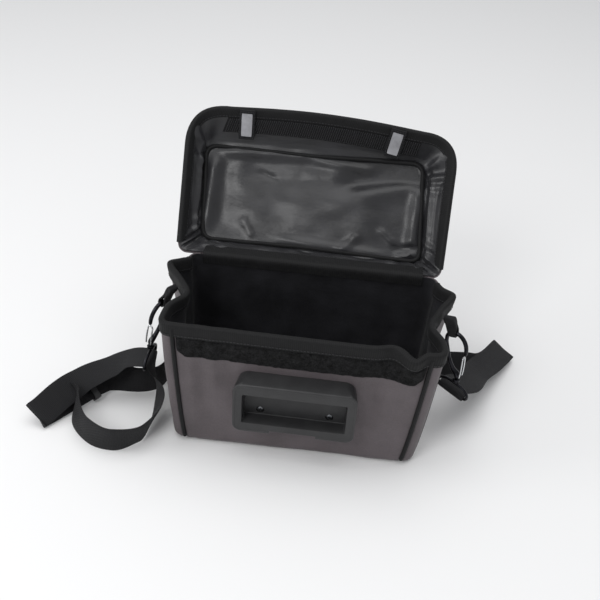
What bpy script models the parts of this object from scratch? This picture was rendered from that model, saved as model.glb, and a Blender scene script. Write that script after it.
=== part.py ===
# Bicycle handlebar bag standing open: soft box body, tray lid thrown back on its cloth
# hinge, moulded handlebar plate, and a shoulder strap on two wire-gate snap hooks.
# Metres, +Z up. X runs along the handlebar, -Y is the front with the plate.
# The origin is the middle of the underside, on the ground.

import math
from types import SimpleNamespace

import bmesh
import bpy
from mathutils import Matrix, Vector

# Cloth and the gap kept between pieces
GAP = 0.00035
SHELL = 0.002
LINING = 0.001
PIPING = 0.0046
PIPING_END = 0.001
TAPE = 0.0012
HOOK_LOOP_TAPE = 0.0018
WEBBING = 0.0015

# Body
BASE_WIDTH = 0.256
BASE_DEPTH = 0.130
BODY_HEIGHT = 0.155
BODY_CORNER = 0.014
BOTTOM_FOLD = 0.008
BODY_FLARE = 0.65
BASE_PANEL_CLEAR = SHELL / 3 + GAP
RIM_BINDING = 0.013
LOOP_STRIP_HEIGHT = 0.023
LOOP_STRIP_CORNER = 0.011
LOOP_STRIP_CUT = 0.7  # how much shorter the strip's lower edge is, as a share of its corner

# Lid, a shallow tray whose open side faces the front
LID_WIDTH = 0.290
LID_LENGTH = 0.168
LID_DEPTH = 0.028
LID_LEAN = math.radians(38)
LID_PANEL_ROUND = 0.08  # share of LID_LENGTH
LID_PANEL_BULGE = 0.14  # share of LID_DEPTH
LID_FLAP_BOW = 0.035  # share of LID_LENGTH
LID_BINDING = 0.010
LID_PIPING = 0.0036
LID_PIPING_OUT = 0.06  # part way from the panel's edge to the rim
LID_PIPING_DEPTH = 0.86  # share of LID_DEPTH
HOOK_STRIP_WIDTH = 0.018
TAB_WIDTH = 0.018
TAB_LENGTH = 0.034
TAB_STRIPE = 0.012
TAB_STRIPE_LENGTH = 0.026

# Hinge tape: its width, then its reach each way as a share of BASE_WIDTH, and how far
# it goes down the lining, to its bend and up the lid as shares of its width
HINGE_TAPE = 0.026
HINGE_TAPE_REACH = 0.475
HINGE_TAPE_DOWN = 0.4
HINGE_TAPE_BEND = 0.12
HINGE_TAPE_UP = 0.55
HINGE_TAPE_COLUMNS = 6

# Handlebar plate
PLATE_WIDTH = 0.126
PLATE_HEIGHT = 0.064
PLATE_THICKNESS = 0.019
PLATE_CORNER = 0.009
PLATE_TAPER = 0.003
PLATE_EDGE = 0.003
PLATE_SEAT = 0.0006
PLATE_CENTRE_HEIGHT = 0.4774 * BODY_HEIGHT
RECESS_WIDTH = 0.106
RECESS_HEIGHT = 0.038
RECESS_DEPTH = 0.0160
RECESS_CORNER = 0.0015
RECESS_RISE = -0.001
NOTCH_WIDTH = 0.048
NOTCH_HEIGHT = 0.0055
NOTCH_CORNER = 0.001

# Screw heads, each in a well in the recess's floor, so that the floor is clear
SCREW_HEAD = 0.007
SCREW_TOP = 0.7  # the top of the head as a share of SCREW_HEAD
SCREW_HEIGHT = 0.0017
SCREW_SPACING = 0.072
SCREW_RISE = -0.0130
SCREW_WELL = SCREW_HEAD + 4 * GAP
SCREW_WELL_DEPTH = SCREW_HEIGHT + 2 * GAP

# How finely round and curved shapes are cut
ARC_STEPS = 3
FOLD_STEPS = 3
SCREW_SIDES = 12
SHARP_ANGLE = math.radians(40)

CORNERS = (
    # corner, then its place at the base and at the rim, as shares of BASE_WIDTH and BASE_DEPTH
    dict(corner="front_left", base_x=-0.5, base_y=-0.5, rim_x=-0.556, rim_y=-0.577),
    dict(corner="front_right", base_x=0.5, base_y=-0.5, rim_x=0.562, rim_y=-0.615),
    dict(corner="back_right", base_x=0.5, base_y=0.5, rim_x=0.540, rim_y=0.538),
    dict(corner="back_left", base_x=-0.5, base_y=0.5, rim_x=-0.532, rim_y=0.538),
)

# The share of a wall's length over which its folds fade out at each end
FOLD_SETTLE = 0.05

FOLDS = (
    # wall, place and spread as shares of the wall's length, from the left or from the front,
    # push outwards as a share of BASE_DEPTH, rise as a share of BODY_HEIGHT, fade downwards
    dict(wall="front", along=0.855, spread=0.045, push=-0.050, rise=0.000, fade=4.0),
    dict(wall="front", along=0.935, spread=0.045, push=0.055, rise=-0.035, fade=4.0),
    dict(wall="right", along=0.34, spread=0.16, push=-0.080, rise=-0.010, fade=2.0),
    dict(wall="right", along=0.76, spread=0.13, push=0.110, rise=0.030, fade=1.6),
    dict(wall="left", along=0.42, spread=0.16, push=-0.100, rise=-0.010, fade=2.0),
    dict(wall="left", along=0.80, spread=0.13, push=0.120, rise=0.030, fade=1.6),
)

# Where each wall is divided, as shares of its length, closer together at the folds
WALL_COLUMNS = dict(
    front=(0.0, 0.18, 0.36, 0.54, 0.70, 0.79, 0.835, 0.88, 0.92, 0.96, 1.0),
    right=(0.0, 0.13, 0.24, 0.34, 0.44, 0.55, 0.66, 0.76, 0.88, 1.0),
    back=(0.0, 0.25, 0.5, 0.75, 1.0),
    left=(0.0, 0.12, 0.20, 0.31, 0.42, 0.52, 0.64, 0.76, 0.88, 1.0),
)

# Heights at which the walls are divided, as shares from the bottom fold to the rim
BODY_ROWS = (0.18, 0.38, 0.56, 0.75, 0.912, 1.0)

LID_CORNERS = (
    # corner, its place on the panel and on the rim as shares of LID_WIDTH and LID_LENGTH,
    # and its radius on the rim as a share of LID_LENGTH
    dict(panel_x=-0.452, panel_u=0.110, rim_x=-0.514, rim_u=0.000, round=0.05),
    dict(panel_x=0.414, panel_u=0.095, rim_x=0.479, rim_u=0.000, round=0.05),
    dict(panel_x=0.390, panel_u=0.765, rim_x=0.500, rim_u=0.925, round=0.22),
    dict(panel_x=-0.480, panel_u=0.745, rim_x=-0.535, rim_u=0.985, round=0.27),
)

LID_ROWS = (
    # out from panel to rim, and how deep, as a share of LID_DEPTH
    dict(out=0.0, depth=1.0),
    dict(out=0.18, depth=0.80),
    dict(out=0.50, depth=0.48),
    dict(out=0.78, depth=0.20),
    dict(out=1.0, depth=0.0),
)

LID_PANEL_RINGS = (0.40, 0.72)
LID_COLUMNS = dict(hinge=6, right=5, flap=10, left=5)

# The row of LID_ROWS from which the tabs lie towards the flap's edge
TAB_ROW = 2

# Side loops, snap hooks and strap rings
HOOK_LENGTH = 0.056
HOOK_WIRE = 0.0044
HOOK_FOOT_HEIGHT = 0.503
GATE_WIRE = 0.0018
GATE_WIDTH = 0.0066
SWIVEL = 0.0080
SWIVEL_LENGTH = 0.0088
SWIVEL_BARREL = 0.34  # share of SWIVEL_LENGTH
SWIVEL_DROP = 0.49  # share of SWIVEL_LENGTH from the hook's foot to the barrel's middle
SWIVEL_SIDES = 12
RING_WIRE = 0.0034
RING_HEIGHT = 0.0155
SIDE_LOOP_WIDTH = 0.0130
SIDE_LOOP_DEPTH = 0.0094

# Shoulder strap, one length of webbing
WEBBING_WIDTH = 0.032
STRAP_REACH = 0.150
STRAP_STEP = 0.010
TAIL_LENGTH = 0.022
LEFT_TURN = (113, 85, 56, 27)  # degrees round the left ring
END_LIFT = 0.0026
SLIDER_LENGTH = 0.007
SLIDER_WALL = 0.0014
SLIDER_ROOM = 0.0022

HANGERS = (
    # where the hook's foot hangs beyond the base and, as a share of BASE_DEPTH, from the middle,
    # how far it leans in and back for each metre up, the turn of its flat side in degrees,
    # and the top of its webbing loop: beyond the base, along BASE_DEPTH and up BODY_HEIGHT
    dict(
        side=-1, foot_out=0.0380, foot_y=-0.03, lean_in=0.25, lean_back=0.07, turn=60,
        top_out=0.0130, top_y=-0.02, top_z=0.985,
    ),
    dict(
        side=1, foot_out=0.0395, foot_y=-0.03, lean_in=0.19, lean_back=0.07, turn=30,
        top_out=0.0205, top_y=-0.02, top_z=0.985,
    ),
)

TABS = (
    # place along the flap from the left, and how far the tab follows the slant of the side walls
    dict(name="left", share=0.085, slant=0.0),
    dict(name="right", share=0.87, slant=0.8),
)

HOOK_BAR = (
    # places on the hook's own plane, as shares of HOOK_LENGTH: along towards the gate, high
    # from the foot, and the bar's thickness there as a share of HOOK_WIRE
    dict(along=0.010, high=-0.03, swell=1.45),
    dict(along=0.000, high=0.07, swell=1.50),
    dict(along=-0.07, high=0.17, swell=1.20),
    dict(along=-0.135, high=0.36, swell=1.0),
    dict(along=-0.165, high=0.60, swell=1.0),
    dict(along=-0.175, high=0.80, swell=1.0),
    dict(along=-0.125, high=0.935, swell=1.0),
    dict(along=-0.03, high=0.985, swell=1.0),
    dict(along=0.08, high=0.965, swell=1.0),
    dict(along=0.175, high=0.88, swell=1.05),
    dict(along=0.225, high=0.75, swell=1.05),
    dict(along=0.225, high=0.62, swell=1.0),
    dict(along=0.198, high=0.52, swell=0.85),
)

GATE_WIRE_PATH = (
    # the gate's bent wire, spread across the hook as a share of GATE_WIDTH
    dict(along=0.075, high=0.02, spread=-0.5),
    dict(along=0.110, high=0.14, spread=-0.5),
    dict(along=0.147, high=0.32, spread=-0.48),
    dict(along=0.168, high=0.455, spread=-0.36),
    dict(along=0.171, high=0.475, spread=0.0),
    dict(along=0.168, high=0.455, spread=0.36),
    dict(along=0.147, high=0.32, spread=0.48),
    dict(along=0.110, high=0.14, spread=0.5),
    dict(along=0.075, high=0.02, spread=0.5),
)

# Where on the hook's plane the webbing loop goes round it, as shares of HOOK_LENGTH
SIDE_LOOP_FOOT = dict(along=-0.02, high=0.985)

SIDE_LOOP_OUTLINE = (
    # the slot and the outside of the webbing loop round the hook: up as shares of its length,
    # out as shares of SIDE_LOOP_DEPTH, and its width there as a share of SIDE_LOOP_WIDTH
    dict(slot_up=-0.170, slot_out=0.0, up=-0.230, out=0.0, wide=0.52),
    dict(slot_up=-0.130, slot_out=0.26, up=-0.175, out=0.38, wide=0.56),
    dict(slot_up=-0.020, slot_out=0.34, up=-0.02, out=0.50, wide=0.60),
    dict(slot_up=0.18, slot_out=0.24, up=0.20, out=0.42, wide=0.82),
    dict(slot_up=0.38, slot_out=0.05, up=0.55, out=0.27, wide=0.96),
    dict(slot_up=0.42, slot_out=0.0, up=1.0, out=0.20, wide=1.0),
    dict(slot_up=0.40, slot_out=-0.02, up=1.02, out=-0.20, wide=1.0),
    dict(slot_up=0.38, slot_out=-0.05, up=0.55, out=-0.27, wide=0.96),
    dict(slot_up=0.18, slot_out=-0.24, up=0.20, out=-0.42, wide=0.82),
    dict(slot_up=-0.020, slot_out=-0.34, up=-0.02, out=-0.50, wide=0.60),
    dict(slot_up=-0.130, slot_out=-0.26, up=-0.175, out=-0.38, wide=0.56),
)

RIGHT_RING = dict(bar=(0.84, -0.44, -0.31), hang=(0.10, 0.25, -0.96))
LEFT_RING = dict(bar=(0.12, 0.99, 0.05), hang=(-0.12, 0.05, -0.99))

RING_OUTLINE = (
    # along the bar as a share of the ring's width, down as a share of RING_HEIGHT
    dict(along=0.10, down=0.0),
    dict(along=0.27, down=0.06),
    dict(along=0.43, down=0.30),
    dict(along=0.50, down=0.58),
    dict(along=0.50, down=0.86),
    dict(along=0.45, down=1.0),
    dict(along=0.15, down=1.0),
    dict(along=-0.15, down=1.0),
    dict(along=-0.45, down=1.0),
    dict(along=-0.50, down=0.86),
    dict(along=-0.50, down=0.58),
    dict(along=-0.43, down=0.30),
    dict(along=-0.27, down=0.06),
    dict(along=-0.10, down=0.0),
)

STRAP = (
    # centres from the right ring round behind the bag to the left ring. beyond is a share of
    # STRAP_REACH out from the base, back a share of BASE_DEPTH, high a share of WEBBING_WIDTH
    dict(side=1, beyond=0.385, back=0.215, high=1.50, wide=(0.84, -0.44, -0.31)),
    dict(side=1, beyond=0.500, back=0.570, high=1.03, wide=(0.78, -0.50, -0.40)),
    dict(side=1, beyond=0.640, back=0.870, high=0.69, wide=(0.75, -0.47, -0.46)),
    dict(side=1, beyond=0.740, back=1.110, high=0.48, wide=(0.76, -0.46, -0.45)),
    dict(side=1, beyond=0.765, back=1.175, high=0.39, wide=(0.76, -0.46, -0.45)),
    dict(side=1, beyond=0.725, back=1.115, high=0.29, wide=(0.76, -0.46, -0.45)),
    dict(side=1, beyond=0.575, back=0.890, high=0.36, wide=(0.72, -0.46, -0.50)),
    dict(side=1, beyond=0.360, back=0.800, high=0.49, wide=(0.40, -0.30, -0.80)),
    dict(side=1, beyond=0.095, back=0.785, high=0.52, wide=(0.05, -0.05, -1.0)),
    dict(side=0.67, beyond=0.0, back=0.770, high=0.52, wide=(0.0, 0.0, -1.0)),
    dict(side=0.16, beyond=0.0, back=0.800, high=0.52, wide=(0.0, 0.0, -1.0)),
    dict(side=-0.36, beyond=0.0, back=0.775, high=0.52, wide=(0.0, 0.0, -1.0)),
    dict(side=-0.84, beyond=0.0, back=0.800, high=0.52, wide=(0.0, 0.0, -1.0)),
    dict(side=-1, beyond=0.080, back=0.710, high=0.52, wide=(0.0, 0.0, -1.0)),
    dict(side=-1, beyond=0.165, back=0.510, high=0.52, wide=(0.0, 0.0, -1.0)),
    dict(side=-1, beyond=0.180, back=0.275, high=0.52, wide=(0.0, 0.0, -1.0)),
    dict(side=-1, beyond=0.235, back=0.115, high=0.52, wide=(0.0, 0.0, -1.0)),
    dict(side=-1, beyond=0.375, back=0.055, high=0.51, wide=(0.0, -0.10, -1.0)),
    dict(side=-1, beyond=0.520, back=0.075, high=0.50, wide=(0.10, -0.45, -0.85)),
    dict(side=-1, beyond=0.625, back=0.060, high=0.45, wide=(0.35, -0.65, -0.68)),
    dict(side=-1, beyond=0.720, back=-0.075, high=0.45, wide=(0.50, -0.60, -0.62)),
    dict(side=-1, beyond=0.825, back=-0.245, high=0.42, wide=(0.56, -0.54, -0.62)),
    dict(side=-1, beyond=0.945, back=-0.445, high=0.41, wide=(0.66, -0.32, -0.68)),
    dict(side=-1, beyond=0.995, back=-0.530, high=0.42, wide=(0.67, -0.26, -0.70)),
    dict(side=-1, beyond=0.955, back=-0.490, high=0.53, wide=(0.67, -0.26, -0.70)),
    dict(side=-1, beyond=0.865, back=-0.330, high=0.75, wide=(0.62, -0.45, -0.62)),
    dict(side=-1, beyond=0.735, back=-0.110, high=0.88, wide=(0.60, -0.72, -0.30)),
    dict(side=-1, beyond=0.560, back=0.000, high=1.16, wide=(0.40, -0.88, -0.15)),
    dict(side=-1, beyond=0.415, back=0.025, high=1.56, wide=(0.12, -0.99, -0.05)),
)

STRAP_LOOP = (
    # from the left ring down and round to the slider
    dict(side=-1, beyond=0.225, back=-0.045, high=1.12, wide=(0.20, -0.93, 0.30)),
    dict(side=-1, beyond=0.165, back=-0.190, high=0.70, wide=(0.45, -0.60, 0.66)),
    dict(side=-1, beyond=0.155, back=-0.370, high=0.55, wide=(0.40, -0.40, 0.82)),
    dict(side=-1, beyond=0.215, back=-0.630, high=0.52, wide=(0.10, -0.35, 0.93)),
    dict(side=-1, beyond=0.395, back=-0.745, high=0.52, wide=(0.0, -0.10, 1.0)),
    dict(side=-1, beyond=0.580, back=-0.670, high=0.52, wide=(0.10, 0.05, 1.0)),
    dict(side=-1, beyond=0.715, back=-0.475, high=0.52, wide=(0.30, 0.05, 0.95)),
    dict(side=-1, beyond=0.760, back=-0.290, high=0.52, wide=(0.15, 0.30, 0.90)),
)

TAIL_TURN = (
    # the sewn tail and its turn round the right ring: away from the ring as shares of TAIL_LENGTH
    # and of the turn's radius, and high as a share of that radius
    dict(tail=1.0, turn=0.0, high=-1.25),
    dict(tail=0.5, turn=0.0, high=-1.2),
    dict(tail=0.0, turn=0.0, high=-1.05),
    dict(tail=0.0, turn=-0.8, high=-0.6),
    dict(tail=0.0, turn=-1.0, high=0.0),
    dict(tail=0.0, turn=-0.8, high=0.6),
    dict(tail=0.0, turn=0.0, high=1.0),
    dict(tail=0.35, turn=0.0, high=1.1),
)

# The row of STRAP that the slider sits on
SLIDER_ROW = 20

STRAP_END = (
    # the sewn end in the slider: rows past SLIDER_ROW, and lift as a share of END_LIFT
    dict(past=0.5, lift=1.5),
    dict(past=0.0, lift=1.0),
    dict(past=-0.8, lift=1.0),
)


def rows_of(table):
    return [SimpleNamespace(**row) for row in table]


def mix(a, b, share):
    return a + (b - a) * share


def smooth(share):
    share = min(1.0, max(0.0, share))
    return share * share * (3 - 2 * share)


# Materials


def srgb(hex_colour):
    values = [int(hex_colour[i : i + 2], 16) / 255 for i in (1, 3, 5)]
    linear = [v / 12.92 if v < 0.04045 else ((v + 0.055) / 1.055) ** 2.4 for v in values]
    return (*linear, 1.0)


def finish(name, colour, roughness, metallic=0.0):
    material = bpy.data.materials.new(name)
    material.use_nodes = True
    shader = material.node_tree.nodes["Principled BSDF"]
    shader.inputs["Base Color"].default_value = srgb(colour)
    shader.inputs["Roughness"].default_value = roughness
    shader.inputs["Metallic"].default_value = metallic
    material.diffuse_color = srgb(colour)
    return material


FINISHES = dict(
    coated_cloth=("#5d5759", 0.55, 0.0),
    lining_cloth=("#2b2b2e", 0.38, 0.0),
    webbing=("#1b1b1d", 0.80, 0.0),
    pile_tape=("#202123", 0.95, 0.0),
    plastic=("#484a4a", 0.45, 0.0),
    reflector=("#a0a0a3", 0.30, 0.0),
    black_metal=("#26262a", 0.35, 0.8),
    bright_wire=("#c9cacc", 0.22, 1.0),
)


def dress(made, finish_name):
    """Gives one object a material of its own, named for the object."""
    colour, roughness, metallic = FINISHES[finish_name]
    made.data.materials.append(finish(made.name + "_" + finish_name, colour, roughness, metallic))
    return made


# Mesh building


def from_bmesh(name, mesh, finish_name, soft=True):
    bmesh.ops.recalc_face_normals(mesh, faces=mesh.faces)
    data = bpy.data.meshes.new(name)
    mesh.to_mesh(data)
    mesh.free()
    if soft:
        data.shade_smooth()
        data.set_sharp_from_angle(angle=SHARP_ANGLE)
    made = bpy.data.objects.new(name, data)
    bpy.context.scene.collection.objects.link(made)
    return dress(made, finish_name)


def with_normals(grid, closed):
    """Pairs each point of a grid with its unit normal, columns by rows."""
    last = len(grid) - 1
    surface = []
    for r, row in enumerate(grid):
        count = len(row)
        pairs = []
        for c, point in enumerate(row):
            after = row[(c + 1) % count] if closed else row[min(c + 1, count - 1)]
            before = row[c - 1] if closed else row[max(c - 1, 0)]
            along = after - before
            up = grid[min(r + 1, last)][c] - grid[max(r - 1, 0)][c]
            pairs.append((point, along.cross(up).normalized()))
        surface.append(pairs)
    return surface


def offset(surface, distance):
    return [[point + normal * distance for point, normal in row] for row in surface]


def thick_sheet(name, surface, near, far, finish_name, closed=False, capped=False):
    """A closed wall between two offsets of a surface. A capped one is closed by a floor at row 0."""
    mesh = bmesh.new()
    sheets = []
    for distance in (near, far):
        grid = offset(surface, distance)
        sheets.append([[mesh.verts.new(point) for point in row] for row in grid])
    rows = len(surface)
    count = len(surface[0])
    spans = count if closed else count - 1
    for sheet in sheets:
        for r in range(rows - 1):
            for c in range(spans):
                d = (c + 1) % count
                mesh.faces.new((sheet[r][c], sheet[r][d], sheet[r + 1][d], sheet[r + 1][c]))
        if capped:
            mesh.faces.new(sheet[0])
    ends = (rows - 1,) if capped else (0, rows - 1)
    for r in ends:
        for c in range(spans):
            d = (c + 1) % count
            mesh.faces.new((sheets[0][r][c], sheets[0][r][d], sheets[1][r][d], sheets[1][r][c]))
    if not closed:
        for c in (0, count - 1):
            for r in range(rows - 1):
                near_edge = (sheets[0][r][c], sheets[0][r + 1][c])
                far_edge = (sheets[1][r + 1][c], sheets[1][r][c])
                mesh.faces.new(near_edge + far_edge)
    bmesh.ops.triangulate(mesh, faces=mesh.faces, quad_method="SHORT_EDGE")
    return from_bmesh(name, mesh, finish_name)


def rod(name, points, diameter, finish_name, closed=False, sides=1, swell=None):
    """A round rod along points, of 4 + 4 * sides faces round. swell scales its diameter at each point."""
    curve = bpy.data.curves.new(name, "CURVE")
    curve.dimensions = "3D"
    curve.bevel_depth = diameter / 2
    curve.bevel_resolution = sides
    curve.use_fill_caps = True
    spline = curve.splines.new("POLY")
    spline.points.add(len(points) - 1)
    for index, (place, point) in enumerate(zip(spline.points, points)):
        place.co = (*point, 1.0)
        place.radius = swell[index] if swell else 1.0
    spline.use_cyclic_u = closed
    made = bpy.data.objects.new(name, curve)
    bpy.context.scene.collection.objects.link(made)
    return dress(made, finish_name)


def block(name, outline, low, high, finish_name):
    """A prism: an outline of (x, z) points between two depths along Y."""
    mesh = bmesh.new()
    near = [mesh.verts.new((x, low, z)) for x, z in outline]
    far = [mesh.verts.new((x, high, z)) for x, z in outline]
    mesh.faces.new(near)
    mesh.faces.new(far)
    count = len(outline)
    for i in range(count):
        j = (i + 1) % count
        mesh.faces.new((near[i], near[j], far[j], far[i]))
    return from_bmesh(name, mesh, finish_name, soft=False)


def cut(target, cutter):
    cutter.hide_render = True
    cutter.display_type = "WIRE"
    modifier = target.modifiers.new("cut_" + cutter.name, "BOOLEAN")
    modifier.operation = "DIFFERENCE"
    modifier.solver = "EXACT"
    modifier.object = cutter


# Body surface


def fold_shift(wall, along, share):
    """How far the folds move a wall outwards and upwards at a place, before they are scaled."""
    push = 0.0
    rise = 0.0
    settle = smooth(along / FOLD_SETTLE) * smooth((1 - along) / FOLD_SETTLE)
    for fold in rows_of(FOLDS):
        if fold.wall != wall:
            continue
        reach = math.exp(-(((along - fold.along) / fold.spread) ** 2)) * settle
        strength = reach * share**fold.fade
        push += fold.push * strength
        rise += fold.rise * strength
    return push * BASE_DEPTH, rise * BODY_HEIGHT


def body_loop(height, inset):
    """The walls' outer outline at a height: a dict of columns by wall and by corner arc."""
    share = min(1.0, max(0.0, height / BODY_HEIGHT))
    flare = share**BODY_FLARE
    sharp = []
    for corner in rows_of(CORNERS):
        x = mix(corner.base_x, corner.rim_x, flare) * BASE_WIDTH
        y = mix(corner.base_y, corner.rim_y, share) * BASE_DEPTH
        sharp.append(Vector((x - math.copysign(inset, x), y - math.copysign(inset, y))))
    radius = BODY_CORNER - inset
    loop = {}
    for index, wall in enumerate(WALL_COLUMNS):
        start = sharp[index]
        end = sharp[(index + 1) % 4]
        run = end - start
        out = Vector((run.y, -run.x)).normalized()
        columns = []
        for u in WALL_COLUMNS[wall]:
            along = 1 - u if wall in ("back", "left") else u
            push, rise = fold_shift(wall, along, share)
            distance = mix(radius, run.length - radius, u)
            place = start + run.normalized() * distance + out * push
            columns.append(Vector((place.x, place.y, height + rise)))
        loop[wall] = columns
    names = list(WALL_COLUMNS)
    for index, wall in enumerate(names):
        after = names[(index + 1) % 4]
        first = loop[wall][-1]
        last = loop[after][0]
        corner = sharp[(index + 1) % 4].to_3d()
        corner.z = height
        arc = []
        for step in range(1, ARC_STEPS):
            t = step / ARC_STEPS
            arc.append(first * (1 - t) ** 2 + corner * 2 * t * (1 - t) + last * t**2)
        loop[wall + "_corner"] = arc
    return loop


def body_surface():
    """The whole outer surface of the walls, as rows from the underside to the rim."""
    loops = []
    for step in range(FOLD_STEPS):
        angle = math.pi / 2 * step / FOLD_STEPS
        height = BOTTOM_FOLD * (1 - math.cos(angle))
        loops.append(body_loop(height, BOTTOM_FOLD * (1 - math.sin(angle))))
    for share in (0.0,) + BODY_ROWS:
        loops.append(body_loop(mix(BOTTOM_FOLD, BODY_HEIGHT, share), 0.0))
    order = [part for wall in WALL_COLUMNS for part in (wall, wall + "_corner")]
    starts = {}
    grid = []
    for loop in loops:
        row = []
        for part in order:
            starts[part] = len(row)
            row.extend(loop[part])
        grid.append(row)
    return with_normals(grid, closed=True), starts


def on_wall(surface, column, drop):
    """The wall's surface and its normal at one column, at a distance below the rim."""
    count = len(surface[0])
    height = BODY_HEIGHT - drop
    heights = [0.0] * FOLD_STEPS
    heights += [mix(BOTTOM_FOLD, BODY_HEIGHT, share) for share in (0.0,) + BODY_ROWS]
    row = len(surface) - 1
    while heights[row - 1] > height:
        row -= 1
    share = (height - heights[row - 1]) / (heights[row] - heights[row - 1])
    low = surface[row - 1][column % count]
    high = surface[row][column % count]
    return low[0].lerp(high[0], share), low[1].lerp(high[1], share)


def rim_strip(surface, first, last, places):
    """Rows of points over a run of columns, each at a drop below the rim, a distance out and a lift."""
    grid = []
    for drop, distance, lift in places:
        row = []
        for column in range(first, last + 1):
            point, normal = on_wall(surface, column, drop)
            row.append(point + normal * distance + Vector((0, 0, lift)))
        grid.append(row)
    return grid


def columns_of(surface, first, last):
    count = len(surface[0])
    return [[row[c % count] for c in range(first, last + 1)] for row in surface]


def pull_in(surface, at_start, at_end):
    """Moves the end columns of a run inwards along the surface, to leave room for the piping."""
    trimmed = []
    for row in surface:
        row = list(row)
        first = row[1][0] - row[0][0]
        last = row[-2][0] - row[-1][0]
        row[0] = (row[0][0] + first.normalized() * at_start, row[0][1])
        row[-1] = (row[-1][0] + last.normalized() * at_end, row[-1][1])
        trimmed.append(row)
    return trimmed


def build_body():
    surface, starts = body_surface()
    count = len(surface[0])
    front_end = starts["front_corner"] - 1
    back_start = starts["back"]
    back_end = starts["back_corner"] - 1
    seam = PIPING / 2 + GAP
    panels = (
        ("front_panel", 0, front_end),
        ("right_gusset", front_end, back_start),
        ("back_panel", back_start, back_end),
        ("left_gusset", back_end, count),
    )
    for name, first, last in panels:
        run = pull_in(columns_of(surface, first, last), seam, seam)
        thick_sheet(name, run, -SHELL, 0.0, "coated_cloth")

    pipings = (
        ("piping_front_left", 0),
        ("piping_front_right", front_end),
        ("piping_back_right", back_start),
        ("piping_back_left", back_end),
    )
    for name, column in pipings:
        points = [row[column][0] + row[column][1] * (PIPING / 2 - SHELL) for row in surface[2:-1]]
        points[-1] += (points[-2] - points[-1]).normalized() * PIPING_END
        rod(name, points, PIPING, "webbing", sides=0)

    inner = [
        [(point - normal * (SHELL + GAP), normal) for point, normal in row]
        for row in surface
    ]
    thick_sheet("body_lining", inner, -LINING, 0.0, "lining_cloth", closed=True, capped=True)

    mesh = bmesh.new()
    loop = body_loop(0.0, BOTTOM_FOLD + BASE_PANEL_CLEAR)
    outline = []
    for wall in WALL_COLUMNS:
        outline += loop[wall] + loop[wall + "_corner"]
    low = [mesh.verts.new(p) for p in outline]
    high = [mesh.verts.new(p + Vector((0, 0, SHELL))) for p in outline]
    mesh.faces.new(low)
    mesh.faces.new(high)
    for i in range(len(outline)):
        j = (i + 1) % len(outline)
        mesh.faces.new((low[i], low[j], high[j], high[i]))
    from_bmesh("base_panel", mesh, "coated_cloth", soft=False)
    return surface, starts


def build_rim(surface, starts):
    """Binding tape folded over the rim of the front and sides, and the loop tape under it."""
    first = starts["left"] - len(surface[0])
    last = starts["right_corner"] - 1
    wall = SHELL + GAP + LINING
    places = (
        (RIM_BINDING, GAP, 0.0),
        (0.0, GAP, 0.0),
        (0.0, -wall / 2, GAP + TAPE / 2),
        (0.0, -wall - GAP, 0.0),
        (RIM_BINDING, -wall - GAP, 0.0),
    )
    grid = rim_strip(surface, first, last, places)
    thick_sheet("rim_binding", with_normals(grid, closed=False), 0.0, TAPE, "webbing")

    top = RIM_BINDING + GAP
    front_end = starts["front_corner"] - 1
    places = (
        (top + LOOP_STRIP_HEIGHT, 3 * GAP, 0.0),
        (top + LOOP_STRIP_HEIGHT - LOOP_STRIP_CORNER, 3 * GAP, 0.0),
        (top, 3 * GAP, 0.0),
    )
    grid = rim_strip(surface, 0, front_end, places)
    strip = pull_in(with_normals(grid, closed=False), PIPING / 2 + GAP, PIPING / 2 + GAP)
    cut_off = LOOP_STRIP_CORNER * LOOP_STRIP_CUT
    bottom = pull_in([strip[0]], cut_off, cut_off)
    thick_sheet("loop_strip", bottom + strip[1:], 0.0, HOOK_LOOP_TAPE, "pile_tape")


# Lid surface


def hinge_point():
    back = CORNERS[2]["rim_y"] * BASE_DEPTH
    return Vector((0, back + 2 * GAP, BODY_HEIGHT + SHELL / 2))


def lid_place(x, u, w):
    """A point of the lid from its plane: x across, u from hinge to flap, w towards the front."""
    lean = Vector((0, math.sin(LID_LEAN), math.cos(LID_LEAN)))
    face = Vector((0, -math.cos(LID_LEAN), math.sin(LID_LEAN)))
    return hinge_point() + Vector((x, 0, 0)) + lean * u + face * w


def lid_outline(out):
    """The outline in the lid's plane, part way from the panel to the rim."""
    sharp = []
    rounds = []
    for corner in rows_of(LID_CORNERS):
        x = mix(corner.panel_x, corner.rim_x, out) * LID_WIDTH
        u = mix(corner.panel_u, corner.rim_u, out) * LID_LENGTH
        sharp.append(Vector((x, u)))
        rounds.append(mix(LID_PANEL_ROUND, corner.round, out) * LID_LENGTH)
    loop = {}
    names = list(LID_COLUMNS)
    for index, wall in enumerate(names):
        start = sharp[index]
        end = sharp[(index + 1) % 4]
        run = end - start
        side = Vector((run.y, -run.x)).normalized()
        count = LID_COLUMNS[wall]
        columns = []
        for step in range(count + 1):
            share = step / count
            distance = mix(rounds[index], run.length - rounds[(index + 1) % 4], share)
            bow = LID_FLAP_BOW * LID_LENGTH * math.sin(math.pi * share) if wall == "flap" else 0.0
            columns.append(start + run.normalized() * distance + side * bow * out)
        loop[wall] = columns
    outline = []
    starts = {}
    for index, wall in enumerate(names):
        starts[wall] = len(outline)
        outline.extend(loop[wall])
        first = loop[wall][-1]
        last = loop[names[(index + 1) % 4]][0]
        corner = sharp[(index + 1) % 4]
        for step in range(1, ARC_STEPS + 1):
            t = step / (ARC_STEPS + 1)
            outline.append(first * (1 - t) ** 2 + corner * 2 * t * (1 - t) + last * t**2)
    return outline, starts


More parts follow.
